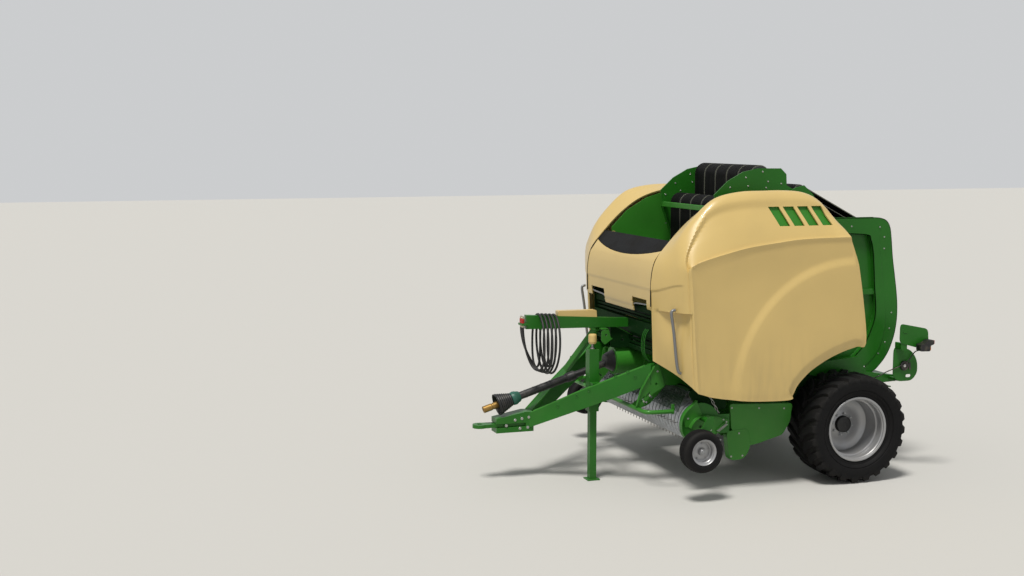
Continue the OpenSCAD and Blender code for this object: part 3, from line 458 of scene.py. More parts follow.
def rim_point(line, across):
    """Point of the rim at a fractional line, from the shoulder, 0, over the crest, 2, to 4."""
    row = spline(hood_lines, line)
    shoulder = Vector((row[0], hood_y, row[1]))
    crest = Vector((row[2], crest_y, row[3]))
    inner = Vector((row[4], hood_in_y, row[5]))
    up = Vector((crest.x - shoulder.x, 0, crest.z - shoulder.z)).normalized()
    bulge = (shoulder + crest) / 2 + 14 * Vector((up.x, 1, up.z))
    spot = spline([shoulder, bulge, crest, (crest + inner) / 2 + 7 * up, inner], across)
    low_edge = 0.02 + 0.3 * ramp(line, 8.4, 9.3)
    top_edge = 1.66 - 1.2 * max(0.0, min(1.0, (line - 6.4) / 2.9))
    soft = 0.36 - 0.24 * max(0.0, min(1.0, (line - 3.0) / 4.0))
    band = (24 + 10 * ramp(line, 3.5, 6.5)) * ramp(line, 0.4, 1.2)
    band *= ramp(across, low_edge, low_edge + 0.16) * (1 - ramp(across, top_edge - soft, top_edge))
    hollow = 45 * (line >= 11.09) * (1 - ramp(line, 11.1, 12.8))
    hollow *= ramp(across, 0.1, 0.9) * (1 - ramp(across, 2, 3.6))
    crease = 10.38 - 0.34 * (1 - ramp(across, 0.9, 4))
    fold = 7 * ramp(line, crease - 0.05, crease + 0.05) * ramp(across, 0.6, 1.1)
    return spot - (band + hollow + fold) * Vector((up.x, 0.6, up.z))


def arc_share(start, end, radius):
    """Share of the way down a flank line at which it crosses a circle round the arc's middle."""
    way, off = end - start, start - arc_middle
    a, b, c = way.dot(way), off.dot(way), off.dot(off) - radius * radius
    return 1 if b * b < a * c else (-b - math.sqrt(b * b - a * c)) / a


def flank_point(line, down):
    """Point of the flank below the shoulder: down runs from 0 through the arc, 1 to 2, to 4."""
    row, edge = spline(hood_lines, line), spline(hood_edge, line)
    start, end = Vector((row[0], 0, row[1])), Vector((edge[0], 0, edge[1]))
    length = (end - start).length
    flare = 1 - 110 / length
    upper = min(0.8 * flare, max(0.1, arc_share(start, end, arc_outer)))
    lower = min(0.92 * flare, max(upper + 0.05, arc_share(start, end, arc_inner)))
    marks = (0, upper, lower, flare, 1)
    i = min(3, int(down))
    share = marks[i] + (marks[i + 1] - marks[i]) * (down - i)
    spot = start + (end - start) * share
    inset = 24 * ramp((spot - arc_middle).length, arc_inner, arc_outer)
    inset *= 0.55 * ramp(share * length, 0, 55) + 0.45 * ramp(share * length, 0, 380)
    drawn = (3 + 32 * ramp(line, 1.5, 3) * (1 - ramp(line, 9, 10.3))) * ramp(down, 3, 4)
    return Vector((spot.x, hood_y - inset - drawn, spot.z))


def steps(*spans):
    """Places from span to span, each given as its start and the number of steps in it."""
    places = []
    for (first, count), (last, _) in zip(spans, spans[1:]):
        places += [first + (last - first) * i / count for i in range(count)]
    return places + [spans[-1][0]]


lines = steps((0, 20), (5, 56), (9.5, 14), (11.08, 1), (11.1, 20), (13, 0))
lines = sorted(set([line for line in lines if not 9.97 < line < 10.47] + steps((9.98, 16), (10.46, 0))))
rows = [("flank", d) for d in reversed(steps((0.03, 12), (1, 10), (2, 8), (3, 8), (4, 0)))]
rows += [("rim", a) for a in steps((0, 26), (1.82, 12), (4, 0))]


def hood_skin():
    form = bmesh.new()
    bmesh.ops.create_grid(form, x_segments=len(lines) - 1, y_segments=len(rows) - 1, size=0.5)
    for vert in form.verts:
        line = lines[round((vert.co.x + 0.5) * (len(lines) - 1))]
        kind, place = rows[round((vert.co.y + 0.5) * (len(rows) - 1))]
        vert.co = flank_point(line, place) if kind == "flank" else rim_point(line, place)
    for number in range(4):
        corners = [(x - window_pitch * number, z) for x, z in window]
        low, high = min(corners)[0] - 60, max(corners)[0] + 60
        middles = ((face, face.calc_center_median()) for face in form.faces)
        inside = [face for face, at in middles if at.y > 1000 and low < at.x < high and 2440 < at.z < 2730]
        for (x0, z0), (x1, z1) in zip(corners, corners[1:] + corners[:1]):
            out = Vector((z1 - z0, 0, x0 - x1)).normalized()
            near = {part for f in inside if f.is_valid for part in (f, *f.edges, *f.verts)}
            cut = bmesh.ops.bisect_plane(form, geom=list(near), plane_co=(x0, 0, z0), plane_no=out, dist=0.01)
            inside = [face for face in only(bmesh.types.BMFace, cut["geom"])
                      if (face.calc_center_median() - Vector((x0, 0, z0))).dot(out) < 0]
        bmesh.ops.delete(form, geom=inside, context="FACES")
    return form


def moulded(name, base):
    """Coloured plastic: a faint orange peel, mottled dust in patches and along the lower edge."""
    made = Finish(name)
    low = made.span(made.height(), 1.55, 0.9)
    streaks = made.span(made.noise(6, 5, (2.5, 2.5, 0.4)), 0.45, 0.8)
    share = low * streaks * 0.3 + made.span(made.noise(2.4, 5), 0.5, 0.8) * 0.10
    tint = made.mix(made.span(made.noise(1.3, 3), 0.3, 0.7), base, dimmed(base, 0.93))
    return made.shade(colour=made.mix(share, tint, tone(152, 132, 96)),
                      roughness=0.33 + share * 0.5 + made.span(made.noise(90, 3), 0.4, 0.8) * 0.06,
                      coat=0.2, normal=made.bump(made.noise(300, 2), 0.00015, made.soft_edges(0.003)))


hood_beige = moulded("hood_beige", tone(211, 183, 116))
for side, hand in sides:
    form = hood_skin()
    bmesh.ops.recalc_face_normals(form, faces=form.faces)
    probe = min(form.faces, key=lambda f: (f.calc_center_median() - Vector((-300, hood_y, 1700))).length)
    if probe.normal.y < 0:
        bmesh.ops.reverse_faces(form, faces=form.faces)
    bmesh.ops.scale(form, vec=(1, hand, 1), verts=form.verts)
    if hand < 0:
        bmesh.ops.reverse_faces(form, faces=form.faces)
    bmesh.ops.solidify(form, geom=form.faces[:], thickness=hood_thickness)
    for x in hinge_xs:
        lathe(form, [(6.2, 0), (12, 0), (12, hinge_width), (6.2, hinge_width)],
              (x, hinge_y * hand, hinge_z), (1, 0, 0), 24, True)
        low, high = sorted((hinge_y * hand, (hinge_y + 20) * hand))
        block(form, (x, low, hinge_z - 22), (x + hinge_width, high, hinge_z - 6))
    piece(f"hood_{side}_moulding", form, hood_beige, f"hood_{side}", f"hood_{side}", sharp=32)
    screen = bmesh.new()
    bmesh.ops.create_grid(screen, x_segments=12, y_segments=6, size=0.5)
    for vert in screen.verts:
        vert.co = rim_point(2.55 + 3.3 * vert.co.x, 1.1 + 1.15 * vert.co.y) - Vector((0, 22, 17))
        vert.co.y *= hand
    bmesh.ops.recalc_face_normals(screen, faces=screen.faces)
    bmesh.ops.solidify(screen, geom=screen.faces[:], thickness=3)
    piece(f"window_screen_{side}", screen, light_green_paint, f"hood_{side}", sharp=32, slot="green_paint")

# Front hood: a curved panel of the same plastic between the side hoods, with a folded lower
# edge and two notches for the feed table's tubes, on two plates that carry it on its hinge.
# A black grained insert with a round lower edge fills its top.
front_curve = [(598, 2262), (642, 2215), (672, 2171), (688, 2130), (703, 2070), (713, 1990), (717, 1880),
               (713, 1739), (702, 1690), (690, 1652)]
insert_curve = [(514, 2351), (560, 2304)] + front_curve[:4]
front_half = 793


def smile(y):
    """Height at which the insert's round lower edge meets the front hood."""
    return 2262 + math.sqrt(4050 ** 2 - front_half ** 2) - math.sqrt(4050 ** 2 - y * y)


def strip(curve, rows):
    """A panel across the machine along a smooth curve of x and z; it opens towards the rear."""
    form = bmesh.new()
    bmesh.ops.create_grid(form, x_segments=80, y_segments=rows, size=0.5)
    for vert in form.verts:
        spot = spline(curve, (vert.co.y + 0.5) * (len(curve) - 1))
        vert.co = (spot[0], 2 * vert.co.x * front_half, spot[1])
    return form


def set_height(vert, curve, height):
    """Moves a point along the panel's curve to a height."""
    spots = (spline(curve, k / 40) for k in range(200))
    vert.co.x, vert.co.z = min(spots, key=lambda spot: abs(spot[1] - height))


def towards_front(form, thickness):
    bmesh.ops.recalc_face_normals(form, faces=form.faces)
    if sum(f.normal.x for f in form.faces) < 0:
        bmesh.ops.reverse_faces(form, faces=form.faces)
    bmesh.ops.solidify(form, geom=form.faces[:], thickness=thickness)


form = strip(front_curve, 90)
for vert in form.verts:
    fold = ramp(vert.co.z, 1905, 1885)
    vert.co.x -= 5 * fold * ramp(vert.co.z, 1652, 1700)
    vert.co.y *= 1 - 0.1 * ramp(vert.co.z, 1800, 1652) * ramp(abs(vert.co.y), 640, 400)
top_rows = [v for v in form.verts if v.co.z > smile(v.co.y)]
bmesh.ops.delete(form, geom=top_rows, context="VERTS")
for vert in form.verts:
    if vert.is_boundary and vert.co.z > 2150:
        set_height(vert, front_curve, smile(vert.co.y) - 3)
notch = [face for face, at in ((face, face.calc_center_median()) for face in form.faces)
         if 355 < abs(at.y) < 690 and at.z < 1785 or abs(at.y) > 690 and at.z < 1700]
bmesh.ops.delete(form, geom=notch, context="FACES")
towards_front(form, 10)
for y in (-769, 757):
    plate(form, [(440, 2296), (440, 2344), (492, 2330), (538, 2282), (574, 2246), (600, 2240),
                 (640, 2195), (660, 2170), (600, 2140)], y, y + 12)
    lathe(form, [(10.2, 0), (25, 0), (25, 12), (10.2, 12)], (440, y, 2320), (0, 1, 0), 32, True)
piece("front_hood_moulding", form, hood_beige, "front_hood", "front_hood", sharp=32)

trim = Finish("dark_trim")
grain = trim.node("ShaderNodeTexVoronoi", {}, {"Vector": trim.place(), "Scale": 240.0})
dull = trim.span(trim.noise(5, 5), 0.45, 0.75)
dark_trim = trim.shade(colour=trim.mix(dull * 0.02, tone(15, 16, 17), dust_tone), shine=0.12,
                       roughness=0.55 + dull * 0.2, normal=trim.bump(grain, 0.0004))
form = strip(insert_curve, 40)
spare = [v for v in form.verts if v.co.z < smile(v.co.y) - 6]
bmesh.ops.delete(form, geom=spare, context="VERTS")
for vert in form.verts:
    if vert.is_boundary and vert.co.z < 2290 and abs(vert.co.y) < front_half - 1:
        set_height(vert, insert_curve, smile(vert.co.y))
towards_front(form, 14)
piece("hood_insert_moulding", form, dark_trim, "front_hood", "hood_insert", sharp=32)


# Handles: bent round tubes, grey painted, welded to a plate behind each side hood's front.
def metal(name, base, roughness, metallic, rust=0.0):
    made = Finish(name)
    spots = made.span(made.noise(24, 6), 0.52, 0.72) * rust
    low = made.span(made.height(), 0.9, 0.1) * made.span(made.noise(7, 4), 0.4, 0.8) * 0.3
    lines = made.noise(180, 2)
    return made.shade(colour=made.mix(low, made.mix(spots, base, tone(112, 84, 62)), dust_tone),
                      roughness=roughness + spots * 0.3 + low * 0.3 + lines * 0.06,
                      metal=metallic, normal=made.bump(lines, 0.00012, made.soft_edges(0.0025)))


grey_tube = metal("grey_tube", tone(126, 128, 130), 0.36, 0.55)
handle = [(611.2, 1741.6), (626, 1741), (648, 1736), (650, 1700), (640, 1650), (616, 1500),
          (601, 1335), (586, 1220), (572, 1165), (560, 1152), (545.2, 1149.7)]
for side, hand in sides:
    tube(f"handle_{side}_tube", [(x, hand * 1120, z) for x, z in handle], 28, grey_tube,
         f"hood_{side}", f"handle_{side}", slot="grey_tube")

# Main tyres: wide flotation tyres. A ribbed carcass is moulded with 24 curved lugs on each
# half; the halves are staggered, and the lug ends run down over the shoulder.
tyre_rubber = Finish("tyre_rubber")
wheel_at = Vector((-1270, 1042, 527))


def tyre_finish(made, centre, floor_r, top_r):
    """Black rubber with dust between the lugs, low on the flanks and in fine mould lines."""
    far = ((made.axis(0) - centre.x / 1000) ** 2.0 + (made.axis(2) - centre.z / 1000) ** 2.0) ** 0.5
    deep = made.span(far, top_r / 1000, floor_r / 1000)
    deep *= made.span(far, (floor_r - 40) / 1000, floor_r / 1000)
    patches = made.span(made.noise(9, 5), 0.38, 0.72)
    share = deep * 0.06 + patches * 0.02 + made.span(made.noise(55, 4), 0.55, 0.8) * 0.03
    mould = made.node("ShaderNodeMath", {"operation": "SINE"}, {0: far * 1500.0})
    return made.shade(colour=made.mix(share, tone(17, 17, 18), tone(96, 92, 86)), shine=0.15,
                      roughness=0.66 + share * 0.3,
                      normal=made.bump(mould * 0.15 + made.noise(150, 4), 0.0007))


tyre_finish(tyre_rubber, wheel_at, 500, 525)
flank = [(301.2, 190), (318, 206), (332, 214), (346, 214), (350, 222), (375, 237), (378, 233), (384, 233),
         (387, 241), (415, 248), (437, 249.5), (460, 248), (472, 246), (484, 240), (490, 226), (496, 150),
         (499, 60), (500, 0)]
carcass = flank + [(r, -y) for r, y in reversed(flank[:-1])]
lug_count = 24
lug_pitch = 360 / lug_count
lug_sweep, lug_reach, lug_foot = 16.5, 250, 488


def around(middle, radius, y, degrees):
    """Point of a circle round an axle."""
    angle = math.radians(degrees)
    return middle + Vector((radius * math.cos(angle), y, radius * math.sin(angle)))


def lug(form, start, hand):
    """One tread lug: a strip across half the tyre whose edges fall to the carcass."""
    across = [(0.07, 488), (0.08, 527), (0.3, 526.5), (0.5, 525.5), (0.7, 523), (0.86, 519), (0.955, 511),
              (0.995, 482), (1.0, 458), (0.985, 448)]
    along = [(0, 0), (0.1, 1), (0.32, 1), (0.52, 1), (0.6, 0)]
    grid = bmesh.ops.create_grid(form, x_segments=len(across) - 1, y_segments=len(along) - 1, size=0.5)
    for vert in grid["verts"]:
        share, radius = across[round((vert.co.x + 0.5) * (len(across) - 1))]
        place, up = along[round((vert.co.y + 0.5) * (len(along) - 1))]
        sweep = lug_sweep * (1 - (1 - share) ** 1.7)
        narrow = 1.0 - 0.15 * share
        width = (1.12 if up else 1.2) * narrow
        radius = radius if up else min(radius, lug_foot)
        vert.co = around(wheel_at, radius, hand * share * lug_reach,
                         start + lug_pitch * (0.3 + (place - 0.3) * width) + sweep)


rim_silver = metal("rim_silver", tone(160, 161, 163), 0.34, 0.55, 0.04)
cap_black = Finish("cap_black")
cap_black.shade(colour=tone(20, 20, 21), roughness=0.42 + cap_black.noise(30, 3) * 0.15,
                normal=cap_black.bump(cap_black.noise(220, 2), 0.0002))
rim_profile = [(45.05, -195), (45.05, -57), (0, -57), (0, -60), (75, -62), (90, -66), (100, -70), (130, -72),
               (150, -80), (205, -84), (238, -70), (258, -52), (264, -30), (264, 96), (268, 106), (286, 112),
               (290, 120), (290, 172), (283, 180), (283, 190), (291, 198), (292, 212), (300, 217),
               (312, 217), (315, 213), (315, 206), (304, 203), (301, 196), (300, 120), (276, 106),
               (276, -104), (300, -118), (300, -203), (314, -206), (314, -215), (300, -215), (290, -205),
               (290, -122), (266, -108), (266, -74), (240, -90), (205, -98), (150, -96), (120, -100),
               (102, -110), (102, -195)]
for side, hand in sides:
    form = bmesh.new()
    lathe(form, carcass, wheel_at, (0, 1, 0), 144, True)
    start = -90 - lug_pitch * 0.52 - 1.6
    for number in range(lug_count):
        lug(form, start + lug_pitch * number, -1)
        lug(form, start + lug_pitch * (number + 0.5), 1)
    bmesh.ops.scale(form, vec=(1, hand, 1), verts=form.verts)
    piece(f"tyre_{side}_rubber", form, tyre_rubber.material, f"wheel_{side}", f"tyre_{side}", edge=0.004,
          slot="tyre_rubber")

    # Its rim: a deep dish of pressed steel, silver, with a black hub cap and eight studs.
    middle = Vector((wheel_at.x, wheel_at.y * hand, wheel_at.z))
    outwards = (0, hand, 0)
    form = bmesh.new()
    lathe(form, rim_profile, middle, outwards, 128, True)
    piece(f"rim_{side}_dish", form, rim_silver, f"wheel_{side}", f"rim_{side}", sharp=30)
    studs = bmesh.new()
    for k in range(8):
        at = around(middle, 108, -72 * hand, 45 * k + 10)
        lathe(studs, [(0, -4), (19, -4), (19, 2), (0, 2)], at, outwards, 20)
        lathe(studs, [(0, 1), (14, 1), (14, 15), (11.5, 17.5), (0, 17.5)], at, outwards, 6)
        lathe(studs, [(0, 16), (7.5, 16), (7.5, 27), (6, 28.5), (0, 28.5)], at, outwards, 14)
    valve = middle + Vector((0, 150 * hand, 285))
    lathe(studs, [(0, -20), (5, -20), (5, 10), (4, 18), (0, 18)], valve, (0, hand, -0.4), 12)
    piece(f"wheel_studs_{side}", studs, metal(f"stud_steel_{side}", tone(168, 170, 172), 0.3, 0.9),
          f"wheel_{side}", edge=0.0008, slot="bare_steel")
    cap = bmesh.new()
    lathe(cap, [(0, -70), (82, -70), (84, -62), (80, -56), (80, -34), (77, -26), (60, -21), (20, -19),
                (18, -16), (0, -15)], middle, outwards, 64)
    piece(f"hub_cap_{side}", cap, cap_black.material, f"wheel_{side}", edge=0.002, slot="dark_trim")

# Gauge wheels: small ribbed tyres on two-piece silver rims with a hub, under the pickup's ends.
gauge_at = Vector((482, 1432.5, 480))
gauge_rubber = Finish("tyre_rubber")
tyre_finish(gauge_rubber, gauge_at, 188, 198)
gauge_half = [(111.3, 62), (120, 70), (136, 74), (140, 77), (150, 77.5), (165, 77.5), (176, 74), (184, 68),
              (190, 60), (195, 46), (195, 36), (188, 34), (188, 27), (196, 25), (197, 14), (190, 12),
              (190, 6), (198, 4)]
gauge_rim = [(12.05, -40), (12.05, 36), (30, 36), (34, 30), (36, 8), (60, 10), (84, 4), (94, 8), (96, 44),
             (102, 50), (103, 60), (112, 64), (118, 71), (121, 70), (116, 61), (110.9, 56), (110.9, -56),
             (116, -61), (121, -70), (118, -71), (111, -64), (100, -56), (97, -8), (84, -4), (60, 2), (40, 0),
             (34, -40)]
for side, hand in sides:
    middle = Vector((gauge_at.x, gauge_at.y * hand, gauge_at.z))
    outwards = (0, hand, 0)
    form = bmesh.new()
    lathe(form, gauge_half + [(r, -y) for r, y in reversed(gauge_half)], middle, outwards, 96, True)
    piece(f"gauge_tyre_{side}_rubber", form, gauge_rubber.material, f"gauge_{side}", f"gauge_tyre_{side}",
          edge=0.0015, slot="tyre_rubber")
    form = bmesh.new()
    lathe(form, gauge_rim, middle, outwards, 72, True)
    piece(f"gauge_rim_{side}_pressing", form, rim_silver, f"gauge_{side}", f"gauge_rim_{side}", sharp=30)
    form = bmesh.new()
    lathe(form, [(0, 30), (25, 30), (25, 39), (21, 43), (9, 44), (7, 48), (0, 48)], middle, outwards, 32)
    for k in range(5):
        at = around(middle, 72, 7 * hand, 72 * k + 20)
        lathe(form, [(0, -4), (11, -4), (11, 1), (8.5, 1), (8.5, 8), (0, 9)], at, outwards, 6)
    piece(f"gauge_hub_{side}", form, metal(f"hub_steel_{side}", tone(150, 152, 154), 0.34, 0.8, 0.15),
          f"gauge_{side}", edge=0.0008, slot="rim_silver")

# Belts: five endless rubber belts side by side, with a woven face and pale edges, partly the
# fabric that shows at the cut and partly a painted highlight of light caught on the edges.
# The front ones run over fixed rollers, the others over the tailgate's.
belt = Finish("belt_rubber")
belt_count, belt_pitch, belt_width = 5, 242, 214
chamber_half = belt_count * belt_pitch / 2
lane = belt.node("ShaderNodeMath", {"operation": "PINGPONG"},
                 {0: belt.axis(1) + chamber_half / 1000, 1: belt_pitch / 2000})
# The pale band on the belts' side edges: partly the cut fabric, partly a painted highlight.
edge_highlight_and_fabric = belt.span(lane, 0.0152, 0.0143)
weave = belt.node("ShaderNodeTexWave", {"wave_type": "BANDS", "bands_direction": "DIAGONAL"},
                  {"Vector": belt.place(), "Scale": 55.0, "Distortion": 0.6})
worn = belt.span(belt.noise(3.5, 6, (1, 5, 1)), 0.45, 0.75)
face = belt.mix(worn * 0.07, tone(15, 15, 16), tone(84, 82, 76))
belt_rubber = belt.shade(colour=belt.mix(edge_highlight_and_fabric * 0.85, face, tone(128, 130, 118)), shine=0.08,
                         roughness=0.6 + worn * 0.2, normal=belt.bump(weave, 0.0012))
coat(belt_rubber, "belts_tail")


def belt_course(rollers, grow):
    """Points of a belt round rollers of x, z and radius; a negative radius wraps it backwards."""
    ways, curve = [], []
    for a, b in zip(rollers, rollers[1:]):
        run = Vector((b[0] - a[0], b[1] - a[1]))
        lean = (a[2] - b[2]) / run.length
        ways.append(math.atan2(run.y, run.x) - math.acos(lean))
    for (x, z, radius), start, end in zip(rollers[1:], ways, ways[1:]):
        turned = (end - start) % math.tau if radius > 0 else -((start - end) % math.tau)
        count = 2 + int(abs(turned) / 0.14)
        curve += [(x + (radius + grow) * math.cos(start + turned * k / count),
                   z + (radius + grow) * math.sin(start + turned * k / count)) for k in range(count + 1)]
    return curve


rear_low, rear_high = (-855, 1300), (-820, 2640)
front_rollers = [(-760, 2740, 55), (-790, 1180, 60), (-215, 1180, 70), (-235, 2640, 95), (-366, 2470, -50),
                 (-520, 2937, 105), (-760, 2740, 55), (-790, 1180, 60)]
form = bmesh.new()
inner, outer = ([(rear_low[0] - grow, rear_low[1])] + belt_course(front_rollers, grow)
                + [(rear_high[0] - grow, rear_high[1])] for grow in (0.1, 8.0))
for number in range(belt_count):
    low = belt_pitch * (number + 0.5) - chamber_half - belt_width / 2
    high = low + belt_width
    loft(form, ([(x0, low, z0), (x1, low, z1), (x1, high, z1), (x0, high, z0)]
                for (x0, z0), (x1, z1) in zip(inner, outer)), capped=True)
piece("front_belts", form, belt_rubber, "chassis", "belts_front", sharp=40)
bare_steel = metal("bare_steel", tone(138, 138, 136), 0.36, 0.8, 0.5)
coat(metal("roller_steel", tone(66, 68, 70), 0.45, 0.6, 0.3), "belt_rollers", "tailgate_rollers")
coat(bare_steel, "pickup_reel")
coat(metal("roller_black", tone(34, 35, 36), 0.42, 0.3, 0.1), "feed_rollers")
coat(metal("chromed_rod", tone(214, 216, 218), 0.12, 1.0, 0.0), "rod_left", "rod_right")

# Pickup: stripper bands pressed from galvanised sheet, each a hoop with rolled edges round the
# reel, open towards the feed table behind it. Sprung tines pass between them.
zinc = Finish("galvanised")
cells = zinc.node("ShaderNodeTexVoronoi", {"feature": "F1"}, {"Vector": zinc.place(), "Scale": 70.0}, "Color")
cell = zinc.node("ShaderNodeSeparateColor", {}, {"Color": cells}, 0)
low = zinc.span(zinc.noise(9, 4), 0.4, 0.8)
spangle = zinc.mix(cell, tone(168, 172, 178), tone(196, 199, 204))
galvanised = zinc.shade(
    colour=zinc.mix(low * 0.35, spangle, tone(134, 128, 118)),
    roughness=0.36 + cell * 0.12 + low * 0.2, metal=0.75, normal=zinc.bump(zinc.noise(160, 2), 0.0002))
band_count, pickup_half = 28, 1020
pitch = 2 * pickup_half / band_count
half = pitch / 2 - 9
section = [(-half, -13), (-half, -3), (-half + 3, 0), (-9, 0), (-6, -3.5), (6, -3.5), (9, 0), (half - 3, 0),
           (half, -3), (half, -13), (half - 3, -13), (half - 3, -5), (half - 6, -3.2), (-half + 6, -3.2),
           (-half + 3, -5), (-half + 3, -13)]
reel_x, reel_z, band_radius = 300, 650, 190
band_low, band_high = reel_z - band_radius, reel_z + band_radius
path = [(62, band_low), (180, band_low)]
path += [(reel_x + band_radius * math.sin(a), reel_z - band_radius * math.cos(a))
         for a in (math.pi * k / 26 for k in range(27))]
path += [(180, band_high), (62, band_high)]


def outward(path):
    """Each point of a path of x and z, with the unit normal there."""
    for before, spot, after in zip(path[:1] + path, path, path[1:] + path[-1:]):
        out = Vector((after[1] - before[1], 0, before[0] - after[0])).normalized()
        yield Vector((spot[0], 0, spot[1])), out


form = bmesh.new()
for number in range(band_count):
    middle = pitch * (number + 0.5) - pickup_half
    loft(form, [[spot + Vector((0, middle + y, 0)) + out * depth for y, depth in section]
                for spot, out in outward(path)])
piece("stripper_bands", form, galvanised, "pickup", "pickup_bands", sharp=30)

# Drive shaft: a black guard tube in two lengths that slide in each other, a ribbed cone at the
# machine's end, and a soft bell with a dark green collar over the front yoke.
def stained(name, base, stain, patches, share, roughness, grain, depth, wear=0.0):
    """Plain plastic with stained patches, given as noise scale, detail, low and high."""
    made = Finish(name)
    patch = made.span(made.noise(*patches[:2]), *patches[2:])
    return made.shade(colour=made.mix(patch * share, base, stain),
                      roughness=patch * wear + roughness if wear else roughness,
                      normal=made.bump(made.noise(*grain), depth))


guard_plastic = stained("dark_trim", tone(28, 28, 29), tone(104, 99, 88), (12, 5, 0.5, 0.75), 0.4, 0.45,
                        (140, 3), 0.0005, 0.25)
collar_green = stained("collar_green", tone(22, 88, 72), tone(60, 74, 62), (16, 4, 0.4, 0.8), 0.5, 0.45,
                       (160, 3), 0.0004)
shaft_from, shaft_to = Vector((790, 0, 1101)), Vector((1769, 0, 799))
way = (shaft_to - shaft_from).normalized()
form = bmesh.new()
lathe(form, [(0, 20), (34, 20), (34, 380), (34, 384), (38, 384), (38, 392), (46, 396), (46, 480), (42, 486),
             (38, 488), (38, 1015), (42, 1018), (42, 1023), (0, 1023)], shaft_from, way, 40)
ring_start, ring_pitch, rib_pitch, fold_pitch = 560, 90, 9, 21
for k in range(5):
    ring = ring_start + ring_pitch * k
    lathe(form, [(37, ring), (40, ring + 2), (40, ring + 10), (37, ring + 12)], shaft_from, way, 40, True)
cone = []
for k in range(9):
    radius = 104 - 4.6 * k
    cone += [(radius + rise, rib_pitch * k + run) for rise, run in ((0, 0.6), (3, 3), (0, 6))]
lathe(form, [(0, 0.5), *cone, (66, 84), (60, 86), (0, 86)], (765, 0, 1110), (1, 0, 0), 56)
piece("shaft_guard", form, guard_plastic, "chassis", "drive_shaft", sharp=38, slot="dark_trim")
form = bmesh.new()
bell = [(50, 46)]
for k in range(7):
    radius = 62 + 6.6 * k
    bell += [(radius + rise, fold_pitch * k + run) for rise, run in ((0, 62), (4.5, 66), (4.5, 74), (2, 78))]
bell += [(107, 212), (107.5, 215), (102, 214), (98, 200), (58, 70), (46, 52)]
lathe(form, bell, shaft_to, way, 64, True)
piece("soft_bell", form, guard_plastic, "chassis", "drive_bell", sharp=38, slot="dark_trim")
form = bmesh.new()
lathe(form, [(38.4, -34), (48, -32), (54, -20), (58, -4), (66, 12), (66, 40), (62, 54), (52, 60), (38.4, 58)],
      shaft_to, way, 48, True)
for k in range(6):
    side_way = Matrix.Rotation(math.radians(60 * k), 4, way) @ Vector((0, 1, 0))
    lathe(form, [(0, 60), (7, 60), (7, 66), (5, 69), (0, 69)], shaft_to + way * 26, side_way, 12)
piece("bell_collar", form, collar_green, "chassis", sharp=38, slot="dark_trim")
brass = metal("yoke_metal", tone(150, 118, 62), 0.4, 0.7, 0.25)
yoke_to = Vector((2094, 0, 653.6))
yoke_from = shaft_to + 60 * way
reach = (yoke_to - yoke_from).length
form = bmesh.new()
lathe(form, [(0, 0), (30, 0), (34, 8), (34, reach - 110), (30, reach - 106), (30, reach - 92),
             (34, reach - 88), (34, reach - 3), (31, reach), (19, reach), (17.6, reach - 3),
             (17.6, reach - 90), (0, reach - 91)], yoke_from, way, 48)
for k in range(6):
    notch_way = Matrix.Rotation(math.radians(60 * k + 15), 4, way) @ Vector((0, 1, 0))
    lathe(form, [(0, 31), (5, 31), (5, 35), (4, 36.5), (0, 36.5)], yoke_from + way * (reach - 60),
          notch_way, 10)
piece("front_yoke", form, brass, "chassis", edge=0.0012, slot="bare_steel")

# Jack: a square leg in a square tube, with a turned knob of beige plastic on its screw.
form = bmesh.new()
jack = (1097, 302, 1285.3)
lathe(form, [(0, 0), (26, 0), (26, 10), (23, 13), (14, 14), (13, 18), (13, 56), (0, 56)], jack, (0, 0, 1), 32)
piece("jack_screw", form, bare_steel, "chassis", "jack_crank", edge=0.001, slot="bare_steel")
form = bmesh.new()
knob = [(0, 50), (30, 50), (35, 55), (36, 62)]
knob += [(40 + 1.2 * (k % 2), 68 + 8 * k) for k in range(8)]
knob += [(40, 134), (36, 143), (28, 147), (0, 148)]
lathe(form, knob, jack, (0, 0, 1), 24)
piece("jack_knob", form, hood_beige, "chassis", edge=0.002, slot="hood_beige")

# Hose box and couplings: a moulded box at the arm's tip, with three turned steel plugs pushed
# into its holes; a red sleeve on each locks it.
coat(hood_beige, "hose_box")
coupling_ys = (72, 100, 128)
form = bmesh.new()
for y in coupling_ys:
    lathe(form, [(0, 1500.5), (11, 1500.5), (11, 1536), (9, 1537.5), (9, 1590), (10.8, 1592), (10.8, 1598),
                 (9, 1600), (9, 1606), (7, 1608), (0, 1608)], (1000 * coupling_x, y, 0), (0, 0, 1), 28)
piece("coupling_plugs", form, metal("coupling_metal", tone(178, 172, 150), 0.26, 0.9, 0.1), "chassis",
      "hose_couplings", edge=0.0006, slot="coupling_metal")
sleeve_red = stained("sleeve_red", tone(178, 26, 24), tone(112, 40, 34), (60, 4, 0.4, 0.8), 0.4, 0.38,
                     (260, 2), 0.0002)
form = bmesh.new()
for y in coupling_ys:
    lathe(form, [(9.3, 1540), (13, 1540), (14, 1543), (14, 1552), (12.6, 1554), (14, 1556), (14, 1580),
                 (12, 1585), (9.3, 1585)], (1000 * coupling_x, y, 0), (0, 0, 1), 28, True)
piece("coupling_sleeves", form, sleeve_red, "chassis", edge=0.0006, slot="coupling_metal")

# Rear lamps: black housings with a red and an orange lens, and a round reflector with a white
# centre, screwed to painted panels; a cable in a conduit runs from each lamp to the rail.
housing_black = stained("dark_trim", tone(22, 22, 23), dust_tone, (20, 4, 0.45, 0.8), 0.3, 0.45,
                        (240, 2), 0.0003)


